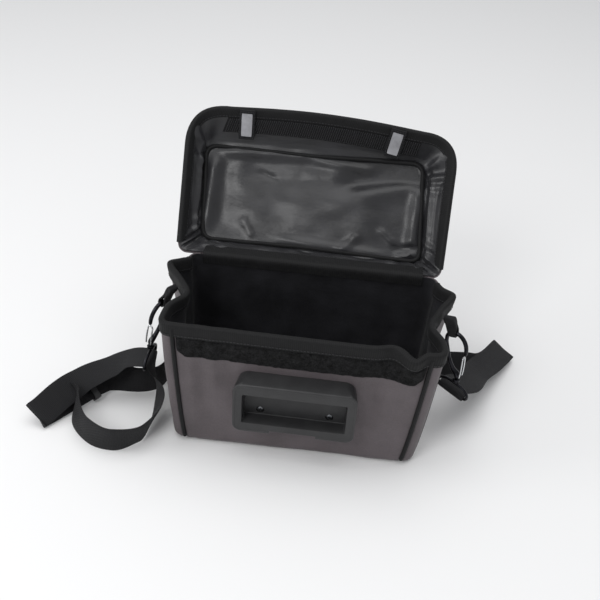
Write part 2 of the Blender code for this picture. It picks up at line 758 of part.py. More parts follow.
def lid_surface():
    panel = lid_outline(0.0)[0]
    middle = Vector((0, 0))
    for place in panel:
        middle += place / len(panel)
    grid = []
    for ring in LID_PANEL_RINGS:
        depth = LID_DEPTH * (1 + LID_PANEL_BULGE * (1 - ring))
        grid.append([lid_place(*(middle + (place - middle) * ring), -depth) for place in panel])
    for row in rows_of(LID_ROWS):
        outline, starts = lid_outline(row.out)
        grid.append([lid_place(*place, -LID_DEPTH * row.depth) for place in outline])
    return with_normals(grid, closed=True), starts


def build_lid():
    surface, starts = lid_surface()
    # The normals point out of the tray, to its back
    thick_sheet("lid_lining", surface, 0.0, LINING, "lining_cloth", closed=True, capped=True)
    near = LINING + GAP
    thick_sheet("lid_shell", surface, near, near + SHELL, "coated_cloth", closed=True, capped=True)

    first = starts["right"]
    last = starts["left"] + LID_COLUMNS["left"]
    rim = columns_of(surface[-2:], first, last)
    wall = LINING + GAP + SHELL
    inside = []
    for low, high in zip(*rim):
        down = (low[0] - high[0]).normalized()
        inside.append((high, down))
    grid = [
        [high[0] + down * LID_BINDING + high[1] * (wall + GAP) for high, down in inside],
        [high[0] - down * GAP + high[1] * (wall + GAP) for high, down in inside],
        [high[0] - down * (GAP + TAPE / 2) + high[1] * (wall / 2) for high, down in inside],
        [high[0] - down * GAP - high[1] * GAP for high, down in inside],
        [high[0] + down * LID_BINDING - high[1] * GAP for high, down in inside],
    ]
    thick_sheet("lid_binding", with_normals(grid, closed=False), 0.0, TAPE, "webbing")
    return surface, starts


def flap_place(share, slant):
    """The lid surface on the flap, part way from its left end to its right end, as a small frame."""
    lid_row = LID_ROWS[TAB_ROW]
    low, order = lid_outline(lid_row["out"])
    high = lid_outline(1.0)[0]
    steps = LID_COLUMNS["flap"]
    place = mix(steps, 0, share)
    column = order["flap"] + int(place)
    part = place - int(place)
    a = low[column].lerp(low[column + 1], part)
    b = high[column].lerp(high[column + 1], part)
    foot = lid_place(*a, -LID_DEPTH * lid_row["depth"])
    edge = lid_place(*b, 0.0)
    across = lid_place(*(low[column + 1]), 0.0) - lid_place(*(low[column]), 0.0)
    up = edge - foot
    up.x *= slant
    up.normalize()
    across = (across - up * across.dot(up)).normalized()
    return edge, up, across, up.cross(across).normalized()


def slab(name, centre, up, across, face, size, finish_name):
    """A flat bar: size is its length along up, its width along across and its thickness along face."""
    mesh = bmesh.new()
    bmesh.ops.create_cube(mesh, size=1.0)
    length, width, thickness = size
    for vert in mesh.verts:
        x, y, z = vert.co
        vert.co = centre + across * (x * width) + face * (y * thickness) + up * (z * length)
    return from_bmesh(name, mesh, finish_name, soft=False)


def build_lid_trim(surface, starts):
    flap_first = starts["flap"]
    flap_last = starts["flap"] + LID_COLUMNS["flap"]
    wall_low = surface[-3]
    wall_high = surface[-1]
    from_edge = LID_BINDING + 2 * GAP
    rows = []
    for drop in (from_edge + HOOK_STRIP_WIDTH, from_edge + HOOK_STRIP_WIDTH / 2, from_edge):
        row = []
        for low, high in zip(wall_low, wall_high):
            down = (low[0] - high[0]).normalized()
            row.append((high[0] + down * drop, (low[1] + high[1]).normalized()))
        rows.append(row)
    run = columns_of(rows, flap_first, flap_last)
    thick_sheet("hook_strip", run, -HOOK_LOOP_TAPE - GAP, -GAP, "pile_tape")

    panel = lid_outline(LID_PIPING_OUT)[0]
    points = [lid_place(*place, -LID_DEPTH * LID_PIPING_DEPTH) for place in panel]
    middle = sum(points, Vector()) / len(points)
    points = [p + (middle - p).normalized() * LID_PIPING for p in points]
    rod("lid_piping", points, LID_PIPING, "webbing", closed=True, sides=0)

    for tab in rows_of(TABS):
        side = tab.name
        edge, up, across, face = flap_place(tab.share, tab.slant)
        if face.y > 0:
            face = -face
        lift = TAPE + HOOK_LOOP_TAPE + 3 * GAP + WEBBING / 2
        centre = edge - up * (TAB_LENGTH / 2 - TAPE) + face * lift
        slab("tab_" + side, centre, up, across, face, (TAB_LENGTH, TAB_WIDTH, WEBBING), "webbing")
        centre = centre + face * (WEBBING / 2 + GAP + TAPE / 2)
        size = (TAB_STRIPE_LENGTH, TAB_STRIPE, TAPE)
        slab("tab_stripe_" + side, centre, up, across, face, size, "reflector")


def build_hinge_tape():
    """Tape over the cloth hinge, from the lining of the back wall to the rear wall of the lid."""
    back = hinge_point()
    wall = SHELL + GAP + LINING
    lining_y = back.y - 2 * GAP - wall - GAP
    drop = HINGE_TAPE * HINGE_TAPE_DOWN
    lean = (CORNERS[2]["rim_y"] - CORNERS[2]["base_y"]) * BASE_DEPTH * drop / BODY_HEIGHT
    foot = lid_place(0, 0, 0)
    rear = (lid_place(0, LID_LENGTH * LID_CORNERS[0]["panel_u"], -LID_DEPTH) - foot).normalized()
    over = Vector((0, -rear.z, rear.y))
    start = back + over * (2 * GAP)
    profile = (
        Vector((0, lining_y - lean, BODY_HEIGHT - drop)),
        Vector((0, lining_y, BODY_HEIGHT)),
        Vector((0, mix(lining_y, start.y, 0.5), start.z + GAP)),
        start + rear * (HINGE_TAPE * HINGE_TAPE_BEND) + over * GAP,
        start + rear * (HINGE_TAPE * HINGE_TAPE_UP) + over * GAP,
    )
    reach = BASE_WIDTH * HINGE_TAPE_REACH
    grid = []
    for place in profile:
        row = []
        for step in range(HINGE_TAPE_COLUMNS + 1):
            row.append(place + Vector((mix(reach, -reach, step / HINGE_TAPE_COLUMNS), 0, 0)))
        grid.append(row)
    thick_sheet("hinge_binding", with_normals(grid, closed=False), -TAPE, 0.0, "webbing")


# Handlebar plate


def rounded_outline(width, height, radius, steps=3):
    outline = []
    for turn, (sx, sz) in enumerate(((1, 1), (-1, 1), (-1, -1), (1, -1))):
        for step in range(steps + 1):
            angle = math.pi / 2 * (turn + step / steps)
            x = sx * (width / 2 - radius) + radius * math.cos(angle)
            z = sz * (height / 2 - radius) + radius * math.sin(angle)
            outline.append((x, z))
    return outline


def front_lean():
    run = 0.0
    for corner in CORNERS[:2]:
        run += (corner["rim_y"] - corner["base_y"]) / 2
    return math.atan2(-run * BASE_DEPTH, BODY_HEIGHT)


def front_turn():
    """How far the front wall turns about Z at the plate's height, from its two corners."""
    share = PLATE_CENTRE_HEIGHT / BODY_HEIGHT
    left, right = CORNERS[0], CORNERS[1]
    near = mix(left["base_y"], left["rim_y"], share) * BASE_DEPTH
    far = mix(right["base_y"], right["rim_y"], share) * BASE_DEPTH
    return math.atan2(far - near, BASE_WIDTH)


def plate_frame():
    """Places the plate's own axes on the front wall: its back at Y = 0, facing -Y."""
    share = PLATE_CENTRE_HEIGHT / BODY_HEIGHT
    y = 0.0
    for corner in CORNERS[:2]:
        y += mix(corner["base_y"], corner["rim_y"], share) / 2
    seat = Vector((0, y * BASE_DEPTH, PLATE_CENTRE_HEIGHT))
    turn = Matrix.Rotation(front_turn(), 4, "Z") @ Matrix.Rotation(front_lean(), 4, "X")
    return Matrix.Translation(seat) @ turn @ Matrix.Translation((0, -PLATE_SEAT, 0))


def build_plate():
    frame = plate_frame()
    mesh = bmesh.new()
    outlines = (
        (PLATE_WIDTH - 2 * PLATE_TAPER, PLATE_HEIGHT + 2 * PLATE_TAPER, PLATE_CORNER + PLATE_TAPER),
        (PLATE_WIDTH, PLATE_HEIGHT, PLATE_CORNER),
        (PLATE_WIDTH - PLATE_EDGE, PLATE_HEIGHT - PLATE_EDGE, PLATE_CORNER - PLATE_EDGE / 2),
    )
    depths = (0.0, -PLATE_THICKNESS + PLATE_EDGE / 2, -PLATE_THICKNESS)
    loops = []
    for size, depth in zip(outlines, depths):
        loops.append([mesh.verts.new((x, depth, z)) for x, z in rounded_outline(*size)])
    mesh.faces.new(loops[0])
    mesh.faces.new(loops[2])
    count = len(loops[0])
    for low, high in zip(loops, loops[1:]):
        for i in range(count):
            j = (i + 1) % count
            mesh.faces.new((low[i], low[j], high[j], high[i]))
    plate = from_bmesh("adapter_plate", mesh, "plastic", soft=False)
    plate.matrix_world = frame

    out = PLATE_THICKNESS * 2
    floor = RECESS_DEPTH - PLATE_THICKNESS
    outline = rounded_outline(RECESS_WIDTH, RECESS_HEIGHT, RECESS_CORNER, 1)
    recess = block("recess_cutter", outline, -out, 0, "plastic")
    recess.matrix_world = frame @ Matrix.Translation((0, floor, RECESS_RISE))
    cut(plate, recess)
    outline = rounded_outline(NOTCH_WIDTH, 2 * NOTCH_HEIGHT, NOTCH_CORNER, 1)
    notch = block("notch_cutter", outline, -out, out, "plastic")
    notch.matrix_world = frame @ Matrix.Translation((0, 0, -PLATE_HEIGHT / 2 - PLATE_TAPER / 2))
    cut(plate, notch)
    build_screws(plate, frame, floor)


def disc(name, wide, narrow, height, sides, finish_name):
    """A round slug standing along Z about its own middle."""
    mesh = bmesh.new()
    bmesh.ops.create_cone(
        mesh, cap_ends=True, segments=sides, radius1=wide / 2, radius2=narrow / 2, depth=height
    )
    return from_bmesh(name, mesh, finish_name)


def build_screws(plate, frame, floor):
    for side, name in ((-1, "left"), (1, "right")):
        across = side * SCREW_SPACING / 2
        up = RECESS_RISE + SCREW_RISE
        stand = Matrix.Rotation(math.pi / 2, 4, "X")
        well_reach = 2 * SCREW_WELL_DEPTH
        well = disc("well_cutter_" + name, SCREW_WELL, SCREW_WELL, well_reach, SCREW_SIDES, "plastic")
        well.matrix_world = frame @ Matrix.Translation((across, floor, up)) @ stand
        cut(plate, well)
        top = SCREW_HEAD * SCREW_TOP
        head = disc("plate_screw_" + name, SCREW_HEAD, top, SCREW_HEIGHT, SCREW_SIDES, "bright_wire")
        depth = floor + SCREW_WELL_DEPTH - GAP - SCREW_HEIGHT / 2
        head.matrix_world = frame @ Matrix.Translation((across, depth, up)) @ stand


# Side loops, snap hooks and rings


def hang_frame(side):
    """A snap hook's foot, the line of its length, and the direction in which its gate side points."""
    row = rows_of(HANGERS)[0 if side < 0 else 1]
    turn = math.radians(row.turn)
    x = side * (BASE_WIDTH / 2 + row.foot_out)
    foot = Vector((x, row.foot_y * BASE_DEPTH, HOOK_FOOT_HEIGHT * BODY_HEIGHT))
    axis = Vector((-side * row.lean_in, row.lean_back, 1)).normalized()
    across = Vector((side * math.cos(turn), -math.sin(turn), 0))
    across = (across - axis * across.dot(axis)).normalized()
    return foot, axis, across


def hook_point(side, along, high):
    foot, axis, across = hang_frame(side)
    return foot + across * (along * HOOK_LENGTH) + axis * (high * HOOK_LENGTH)


def smooth_path(points, steps):
    """A centripetal Catmull-Rom curve through points, with a number of steps for each span."""
    points = [points[0] * 2 - points[1]] + list(points) + [points[-1] * 2 - points[-2]]
    path = []
    for i in range(1, len(points) - 2):
        a, b, c, d = points[i - 1 : i + 3]
        before, here, after = (max((q - p).length, 1e-6) ** 0.5 for p, q in ((a, b), (b, c), (c, d)))
        leaving = ((b - a) / before - (c - a) / (before + here) + (c - b) / here) * here
        arriving = ((c - b) / here - (d - b) / (here + after) + (d - c) / after) * here
        count = steps if isinstance(steps, int) else steps(b, c)
        for step in range(count):
            t = step / count
            rest = 1 - t
            path.append(
                b * (rest * rest * (1 + 2 * t)) + leaving * (t * rest * rest)
                + c * (t * t * (3 - 2 * t)) - arriving * (t * t * rest)
            )
    path.append(points[-2].copy())
    return path


def build_hook(side, name):
    axis, across = hang_frame(side)[1:]
    level = across.cross(axis).normalized()
    rows = rows_of(HOOK_BAR)
    points = [hook_point(side, row.along, row.high) for row in rows]
    path = smooth_path(points, 2)
    swell = smooth_path([Vector((row.swell, 0, 0)) for row in rows], 2)
    rod("hook_" + name, path, HOOK_WIRE, "black_metal", sides=1, swell=[s.x for s in swell])

    gate = []
    for row in rows_of(GATE_WIRE_PATH):
        gate.append(hook_point(side, row.along, row.high) + level * (row.spread * GATE_WIDTH))
    rod("gate_" + name, smooth_path(gate, 2), GATE_WIRE, "bright_wire", sides=0)


def ring_frame(side):
    """The strap ring's top, the direction of its bar and the direction in which it hangs."""
    foot = hang_frame(side)[0]
    row = RIGHT_RING if side > 0 else LEFT_RING
    bar = Vector(row["bar"]).normalized()
    hang = Vector(row["hang"]).normalized()
    hang = (hang - bar * hang.dot(bar)).normalized()
    top = foot + Vector((0, 0, -SWIVEL_LENGTH))
    return top, bar, hang


def build_ring(side, name):
    foot = hang_frame(side)[0]
    top, bar, hang = ring_frame(side)
    barrel = SWIVEL_LENGTH * SWIVEL_BARREL
    swivel = disc("swivel_" + name, SWIVEL, SWIVEL, barrel, SWIVEL_SIDES, "black_metal")
    swivel.location = foot + Vector((0, 0, -SWIVEL_LENGTH * SWIVEL_DROP))
    width = WEBBING_WIDTH + RING_WIRE + 4 * GAP
    points = []
    for row in rows_of(RING_OUTLINE):
        points.append(top + bar * (row.along * width) + hang * (row.down * RING_HEIGHT))
    rod("ring_" + name, points, RING_WIRE, "black_metal", closed=True, sides=1)


def build_side_loop(side, name):
    """A loop of webbing folded round the top of the hook, and sewn to the gusset at its upper end."""
    row = rows_of(HANGERS)[0 if side < 0 else 1]
    across = hang_frame(side)[2]
    low = hook_point(side, **SIDE_LOOP_FOOT)
    x = side * (BASE_WIDTH / 2 + row.top_out)
    high = Vector((x, row.top_y * BASE_DEPTH, row.top_z * BODY_HEIGHT))
    length = (high - low).length
    up = (high - low).normalized()
    wide = (across - up * across.dot(up)).normalized()
    out = up.cross(wide).normalized()
    mesh = bmesh.new()
    ends = []
    for end in (-0.5, 0.5):
        slot = []
        outside = []
        for place in rows_of(SIDE_LOOP_OUTLINE):
            shift = low + wide * (end * place.wide * SIDE_LOOP_WIDTH)
            inner = shift + up * (place.slot_up * length) + out * (place.slot_out * SIDE_LOOP_DEPTH)
            outer = shift + up * (place.up * length) + out * (place.out * SIDE_LOOP_DEPTH)
            slot.append(mesh.verts.new(inner))
            outside.append(mesh.verts.new(outer))
        ends.append((slot, outside))
    count = len(SIDE_LOOP_OUTLINE)
    for i in range(count):
        j = (i + 1) % count
        for layer in (0, 1):
            a, b = ends[0][layer], ends[1][layer]
            mesh.faces.new((a[i], a[j], b[j], b[i]))
        for slot, outside in ends:
            mesh.faces.new((slot[i], slot[j], outside[j], outside[i]))
    from_bmesh("side_loop_" + name, mesh, "webbing")


# Shoulder strap


def strap_stations():
    """Centres and width directions of the strap, from its sewn tail to its sewn end."""
    stations = []
    radius = RING_WIRE / 2 + 2 * GAP + WEBBING / 2

    top, bar, hang = ring_frame(1)
    centre = top + hang * RING_HEIGHT
    start = strap_row(STRAP[0])[0] - centre
    away = (start - bar * start.dot(bar)).normalized()
    over = bar.cross(away).normalized()
    if over.z < 0:
        over = -over
    wide = bar if bar.x > 0 else -bar
    for row in rows_of(TAIL_TURN):
        along = row.tail * TAIL_LENGTH + row.turn * radius
        stations.append((centre + away * along + over * (row.high * radius), wide))
    for row in STRAP:
        stations.append(strap_row(row))

    top, bar, hang = ring_frame(-1)
    centre = top + hang * RING_HEIGHT
    wide = -bar if bar.y > 0 else bar
    level = hang.cross(bar).normalized()
    if level.x < 0:
        level = -level
    for degrees in LEFT_TURN:
        angle = math.radians(degrees)
        spot = level * math.cos(angle) - hang * math.sin(angle)
        stations.append((centre + spot * radius, wide))
    for row in STRAP_LOOP:
        stations.append(strap_row(row))
    for row in rows_of(STRAP_END):
        centre, wide, along, face = strap_frame(SLIDER_ROW + row.past)
        stations.append((centre + face * (END_LIFT * row.lift), -wide))
    return stations


def strap_frame(row):
    """The centre, width, run and upper face of the strap at a row of STRAP, or part way to the next."""
    index = math.floor(row)
    before, here, after = (strap_row(STRAP[index + step]) for step in (-1, 0, 1))
    along = (after[0] - before[0]).normalized()
    centre = here[0].lerp(after[0], row - index)
    wide = here[1].lerp(after[1], row - index)
    wide = (wide - along * wide.dot(along)).normalized()
    face = along.cross(wide).normalized()
    if face.z < 0:
        face = -face
    return centre, wide, along, face


def build_slider():
    """A plain sleeve that holds the strap's sewn end on the strand under it."""
    centre, wide, along, face = strap_frame(SLIDER_ROW)
    corners = ((-0.5, -0.5), (0.5, -0.5), (0.5, 0.5), (-0.5, 0.5))
    centre = centre + face * (END_LIFT / 2)
    inner = (WEBBING_WIDTH + 4 * GAP, END_LIFT + WEBBING + SLIDER_ROOM)
    outer = (inner[0] + 2 * SLIDER_WALL, inner[1] + 2 * SLIDER_WALL)
    mesh = bmesh.new()
    ends = []
    for end in (-0.5, 0.5):
        loops = []
        for width, height in (inner, outer):
            loop = []
            for sx, sy in corners:
                place = centre + along * (end * SLIDER_LENGTH) + wide * (sx * width)
                loop.append(mesh.verts.new(place + face * (sy * height)))
            loops.append(loop)
        ends.append(loops)
    for i in range(4):
        j = (i + 1) % 4
        for layer in (0, 1):
            a, b = ends[0][layer], ends[1][layer]
            mesh.faces.new((a[i], a[j], b[j], b[i]))
        for inner_loop, outer_loop in ends:
            mesh.faces.new((inner_loop[i], inner_loop[j], outer_loop[j], outer_loop[i]))
    from_bmesh("strap_slider", mesh, "plastic", soft=False)


def strap_row(row):
    centre = Vector((
        row["side"] * (BASE_WIDTH / 2 + row["beyond"] * STRAP_REACH),
        row["back"] * BASE_DEPTH,
        row["high"] * WEBBING_WIDTH,
    ))
    return centre, Vector(row["wide"]).normalized()


def build_strap():
    stations = strap_stations()
    points = [point for point, wide in stations]
    widths = [wide for point, wide in stations]

    def steps(a, b):
        return max(1, round((b - a).length / STRAP_STEP))

    path = smooth_path(points, steps)
    across = []
    for i in range(len(points) - 1):
        here = steps(points[i], points[i + 1])
        for step in range(here):
            across.append(widths[i].lerp(widths[i + 1], smooth(step / here)))
    across.append(widths[-1])
    mesh = bmesh.new()
    rings = []
    for i, (point, wide) in enumerate(zip(path, across)):
        along = (path[min(i + 1, len(path) - 1)] - path[max(i - 1, 0)]).normalized()
        wide = (wide - along * wide.dot(along)).normalized()
        face = along.cross(wide)
        ring = []
        for side, thick in ((-0.5, -0.5), (0.5, -0.5), (0.5, 0.5), (-0.5, 0.5)):
            ring.append(mesh.verts.new(point + wide * (side * WEBBING_WIDTH) + face * (thick * WEBBING)))
        rings.append(ring)
    for a, b in zip(rings, rings[1:]):
        for i in range(4):
            j = (i + 1) % 4
            mesh.faces.new((a[i], a[j], b[j], b[i]))
    mesh.faces.new(rings[0])
    mesh.faces.new(rings[-1])
    from_bmesh("shoulder_strap", mesh, "webbing")


def clear_scene():
    for old in list(bpy.data.objects):
        bpy.data.objects.remove(old, do_unlink=True)


def main():
    clear_scene()
    surface, starts = build_body()
    build_rim(surface, starts)
    lid, lid_starts = build_lid()
    build_lid_trim(lid, lid_starts)
    build_hinge_tape()
    build_plate()
    for side, name in ((-1, "left"), (1, "right")):
        build_side_loop(side, name)
        build_hook(side, name)
        build_ring(side, name)
    build_strap()
    build_slider()


main()
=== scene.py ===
import math

import bmesh
import bpy
import numpy as np
from mathutils import Matrix, Vector


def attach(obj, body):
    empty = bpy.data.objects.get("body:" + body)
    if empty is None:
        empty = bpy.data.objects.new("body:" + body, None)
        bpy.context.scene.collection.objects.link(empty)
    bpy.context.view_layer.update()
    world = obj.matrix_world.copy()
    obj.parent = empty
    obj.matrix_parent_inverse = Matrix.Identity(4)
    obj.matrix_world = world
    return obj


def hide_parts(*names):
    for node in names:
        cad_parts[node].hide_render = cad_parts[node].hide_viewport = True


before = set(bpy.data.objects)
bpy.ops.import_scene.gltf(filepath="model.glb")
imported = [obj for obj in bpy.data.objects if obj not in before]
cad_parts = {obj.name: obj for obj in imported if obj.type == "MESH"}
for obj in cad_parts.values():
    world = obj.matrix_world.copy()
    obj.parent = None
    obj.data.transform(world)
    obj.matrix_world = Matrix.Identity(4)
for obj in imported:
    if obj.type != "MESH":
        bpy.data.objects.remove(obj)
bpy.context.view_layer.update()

print("frame loaded:", len(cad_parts), "solids")

# Camera, at the photo's angle
view = dict(azimuth=2.8, elevation=33.0, roll=4.6, distance=1.0, lens=57.42, aim=(-0.0075, 0.0, 0.152))


def makeCamera():
    az, el, roll = (math.radians(view[k]) for k in ("azimuth", "elevation", "roll"))
    back = Vector((math.sin(az) * math.cos(el), -math.cos(az) * math.cos(el), math.sin(el)))
    level = Vector((0, 0, 1)).cross(back).normalized()
    upright = back.cross(level)
    right = level * math.cos(roll) + upright * math.sin(roll)
    up = upright * math.cos(roll) - level * math.sin(roll)
    eye = Vector(view["aim"]) + back * view["distance"]
    camera = bpy.data.objects.new("camera", bpy.data.cameras.new("camera"))
    camera.matrix_world = Matrix((
        (right.x, up.x, back.x, eye.x),
        (right.y, up.y, back.y, eye.y),
        (right.z, up.z, back.z, eye.z),
        (0, 0, 0, 1),
    ))
    camera.data.sensor_width = 36
    camera.data.lens = view["lens"]
    bpy.context.scene.collection.objects.link(camera)
    bpy.context.scene.camera = camera


makeCamera()
print("camera set")


# Node helper and colours

def hexColour(text):
    values = [int(text[i:i + 2], 16) / 255 for i in (1, 3, 5)]
    linear = [v / 12.92 if v < 0.04045 else ((v + 0.055) / 1.055) ** 2.4 for v in values]
    return (*linear, 1.0)


def addNode(tree, kind, links=(), **settings):
    # links pairs an input's name or number with the output that feeds it
    node = tree.nodes.new(kind)
    for name, value in settings.items():
        if name in node.bl_rna.properties:
            setattr(node, name, value)
        elif name[0] == "i" and name[1:].isdigit():
            node.inputs[int(name[1:])].default_value = value
        else:
            node.inputs[name.replace("_", " ")].default_value = value
    for name, source in dict(links).items():
        tree.links.new(source, node.inputs[name])
    return node


def startMaterial(name, **surface):
    made = bpy.data.materials.new(name)
    made.use_nodes = True
    tree = made.node_tree
    shader = tree.nodes["Principled BSDF"]
    for key, value in surface.items():
        shader.inputs[key.replace("_", " ")].default_value = value
    return made, tree, shader


def colourBetween(tree, shader, factor, dark, light, low=0.3, high=0.7):
    ramp = addNode(tree, "ShaderNodeValToRGB", {"Fac": factor})
    ramp.color_ramp.elements[0].position = low
    ramp.color_ramp.elements[0].color = hexColour(dark)
    ramp.color_ramp.elements[1].position = high
    ramp.color_ramp.elements[1].color = hexColour(light)
    tree.links.new(ramp.outputs[0], shader.inputs["Base Color"])
    return ramp


def roughBetween(tree, shader, factor, low, high):
    spread = addNode(tree, "ShaderNodeMapRange", {"Value": factor}, To_Min=low, To_Max=high)
    tree.links.new(spread.outputs[0], shader.inputs["Roughness"])


def bumpFrom(tree, shader, heights):
    # heights is a list of (output, millimetres, strength), joined one on another
    normal = None
    for height, millimetres, strength in heights:
        bump = addNode(tree, "ShaderNodeBump", {"Height": height}, Strength=strength, Distance=millimetres / 1000)
        if normal:
            tree.links.new(normal, bump.inputs["Normal"])
        normal = bump.outputs[0]
    tree.links.new(normal, shader.inputs["Normal"])


def woven(tree, warp, weft):
    # Height of a plain weave on the piece's own map, which is in metres; warp and weft are thread widths in mm
    place = addNode(tree, "ShaderNodeUVMap", uv_map="cloth")
    parts = addNode(tree, "ShaderNodeSeparateXYZ", {"Vector": place.outputs[0]})
    threads = []
    counts = []
    for axis, width in (("X", warp), ("Y", weft)):
        across = addNode(tree, "ShaderNodeMath", {0: parts.outputs[axis]}, operation="MULTIPLY", i1=1000 / width)
        angle = addNode(tree, "ShaderNodeMath", {0: across.outputs[0]}, operation="MULTIPLY", i1=math.pi)
        wave = addNode(tree, "ShaderNodeMath", {0: angle.outputs[0]}, operation="SINE")
        threads.append(addNode(tree, "ShaderNodeMath", {0: wave.outputs[0]}, operation="ABSOLUTE"))
        counts.append(addNode(tree, "ShaderNodeMath", {0: across.outputs[0]}, operation="FLOOR"))
    both = addNode(tree, "ShaderNodeMath", {0: counts[0].outputs[0], 1: counts[1].outputs[0]}, operation="ADD")
    over = addNode(tree, "ShaderNodeMath", {0: both.outputs[0]}, operation="PINGPONG", i1=1.0)
    mixed = addNode(
        tree, "ShaderNodeMix",
        {"Factor": over.outputs[0], "A": threads[0].outputs[0], "B": threads[1].outputs[0]},
    )
    return mixed.outputs[0]


def cloudy(tree, millimetres, detail=3.0, roughness=0.55, stretch=(1, 1, 1)):
    # Soft variation about as wide as millimetres
    place = addNode(tree, "ShaderNodeTexCoord")
    scaled = addNode(tree, "ShaderNodeMapping", {"Vector": place.outputs["Object"]}, Scale=stretch)
    noise = addNode(
        tree, "ShaderNodeTexNoise", {"Vector": scaled.outputs[0]},
        Scale=1000 / millimetres, Detail=detail, Roughness=roughness,
    )
    return noise.outputs["Fac"]


# Materials

def makeMaterials():
    made = {}

    # Polyester oxford cloth, woven from 600 denier yarn and coated on its back: a soft low sheen, a
    # fine even grain, and faint lighter patches where it is rubbed. Its yarn is about 0.45 mm wide
    # and is drawn at 0.9 mm, since the real one is too fine to show
    cloth, tree, shader = startMaterial(
        "wovenPolyesterOxford", Specular_IOR_Level=0.3, Sheen_Weight=0.06, Sheen_Roughness=0.45,
    )
    patches = cloudy(tree, 38, 4.0)
    weave = woven(tree, 0.9, 0.9)
    grain = cloudy(tree, 1.6, 2.0)
    blended = addNode(tree, "ShaderNodeMix", {"A": patches, "B": grain}, Factor=0.3)
    colourBetween(tree, shader, blended.outputs[0], "#4b4547", "#625b5e", 0.28, 0.72)
    roughBetween(tree, shader, patches, 0.46, 0.62)
    bumpFrom(tree, shader, [(weave, 0.10, 0.45), (grain, 0.12, 0.25), (cloudy(tree, 14, 3.0), 0.5, 0.35)])
    made["cloth"] = cloth

    # Polyester lining with a smooth coating: near black with a satin gloss that picks out each crease
    lining, tree, shader = startMaterial("coatedPolyesterLining", Specular_IOR_Level=0.5, Sheen_Weight=0.05)
    fine = cloudy(tree, 2.2, 3.0)
    wide = cloudy(tree, 30, 3.0)
    colourBetween(tree, shader, wide, "#19191b", "#252528")
    roughBetween(tree, shader, wide, 0.27, 0.38)
    creased = cloudy(tree, 16, 5.0, 0.6, (1.0, 1.0, 2.2))
    bumpFrom(tree, shader, [(creased, 1.1, 0.35), (fine, 0.12, 0.3), (woven(tree, 0.8, 0.8), 0.05, 0.3)])
    made["lining"] = lining

    # Polypropylene webbing, woven flat and heavy: matte, with ribs across it and a tight edge. Its
    # ribs are about 0.9 mm apart
    webbing, tree, shader = startMaterial("wovenPolypropyleneWebbing", Specular_IOR_Level=0.22, Sheen_Weight=0.02)
    ribs = woven(tree, 1.1, 1.7)
    dust = cloudy(tree, 9, 4.0)
    # Its colour follows the weave: painted shade between the ribs and painted highlight on them, mixed with dust
    shade = addNode(tree, "ShaderNodeMix", {"A": dust, "B": ribs}, Factor=0.65)
    colourBetween(tree, shader, shade.outputs[0], "#0d0d0f", "#262628", 0.2, 0.85)
    roughBetween(tree, shader, dust, 0.62, 0.82)
    bumpFrom(tree, shader, [(ribs, 0.35, 0.8), (dust, 0.2, 0.2)])
    made["webbing"] = webbing

    # Grosgrain binding tape, ribbed across in polyester: black, a little smoother than the webbing,
    # with ribs about 0.7 mm apart
    binding, tree, shader = startMaterial("ribbedGrosgrainTape", Specular_IOR_Level=0.22, Sheen_Weight=0.02)
    place = addNode(tree, "ShaderNodeUVMap", uv_map="cloth")
    tape = addNode(tree, "ShaderNodeTexWave", {"Vector": place.outputs[0]}, Scale=1000 / 1.4 / 6.283 * 1.4)
    lint = cloudy(tree, 5, 5.0, 0.65)
    # Its colour follows the ribs: painted shade in their grooves and painted highlight on them, mixed with lint
    shade = addNode(tree, "ShaderNodeMix", {"A": lint, "B": tape.outputs["Fac"]}, Factor=0.35)
    colourBetween(tree, shader, shade.outputs[0], "#0b0b0c", "#1c1c1d", 0.25, 0.8)
    roughBetween(tree, shader, lint, 0.58, 0.78)
    bumpFrom(tree, shader, [(tape.outputs["Fac"], 0.18, 0.6), (lint, 0.35, 0.35)])
    made["binding"] = binding

    # Loop tape, brushed nylon pile: matte black felt that holds lint, with tufts 1 to 2 mm wide
    loops, tree, shader = startMaterial("brushedNylonLoop", Specular_IOR_Level=0.1, Sheen_Weight=0.03, Roughness=0.95)
    tufts = cloudy(tree, 1.3, 6.0, 0.75)
    clumps = cloudy(tree, 6, 4.0, 0.7)
    shade = addNode(tree, "ShaderNodeMix", {"A": clumps, "B": tufts}, Factor=0.6)
    colourBetween(tree, shader, shade.outputs[0], "#050505", "#29292a", 0.42, 0.64)
    bumpFrom(tree, shader, [(clumps, 0.6, 0.3), (tufts, 0.5, 0.7)])
    made["loops"] = loops

    # Hook tape, woven nylon with cut monofilament hooks: darker and a little shinier than the loops
    hooks, tree, shader = startMaterial("wovenNylonHook", Specular_IOR_Level=0.5)
    stubble = cloudy(tree, 1.2, 3.0, 0.6)
    colourBetween(tree, shader, stubble, "#19191b", "#38383b")
    roughBetween(tree, shader, stubble, 0.40, 0.65)
    bumpFrom(tree, shader, [(stubble, 0.4, 0.6)])
    made["hooks"] = hooks

    # Glass-filled nylon, injection moulded with a spark-etched skin: dark grey, an even fine grain of
    # about 0.5 mm and soft broad highlights, with a painted highlight that lightens its convex edges
    nylon, tree, shader = startMaterial("mouldedGlassFilledNylon", Specular_IOR_Level=0.4, IOR=1.53)
    etched = cloudy(tree, 0.9, 2.0)
    rubbed = cloudy(tree, 22, 5.0)
    bend = addNode(tree, "ShaderNodeNewGeometry")
    # Convex edges, found from the mesh's pointiness, are coloured lighter: a painted edge highlight
    paintedEdgeHighlight = addNode(tree, "ShaderNodeMapRange", {"Value": bend.outputs["Pointiness"]}, From_Min=0.52, From_Max=0.60)
    base = addNode(tree, "ShaderNodeMix", {"A": rubbed, "B": paintedEdgeHighlight.outputs[0]}, Factor=0.35)
    colourBetween(tree, shader, base.outputs[0], "#262627", "#3b3b3c", 0.25, 0.85)
    roughBetween(tree, shader, rubbed, 0.38, 0.52)
    bumpFrom(tree, shader, [(etched, 0.08, 0.5)])
    made["nylon"] = nylon

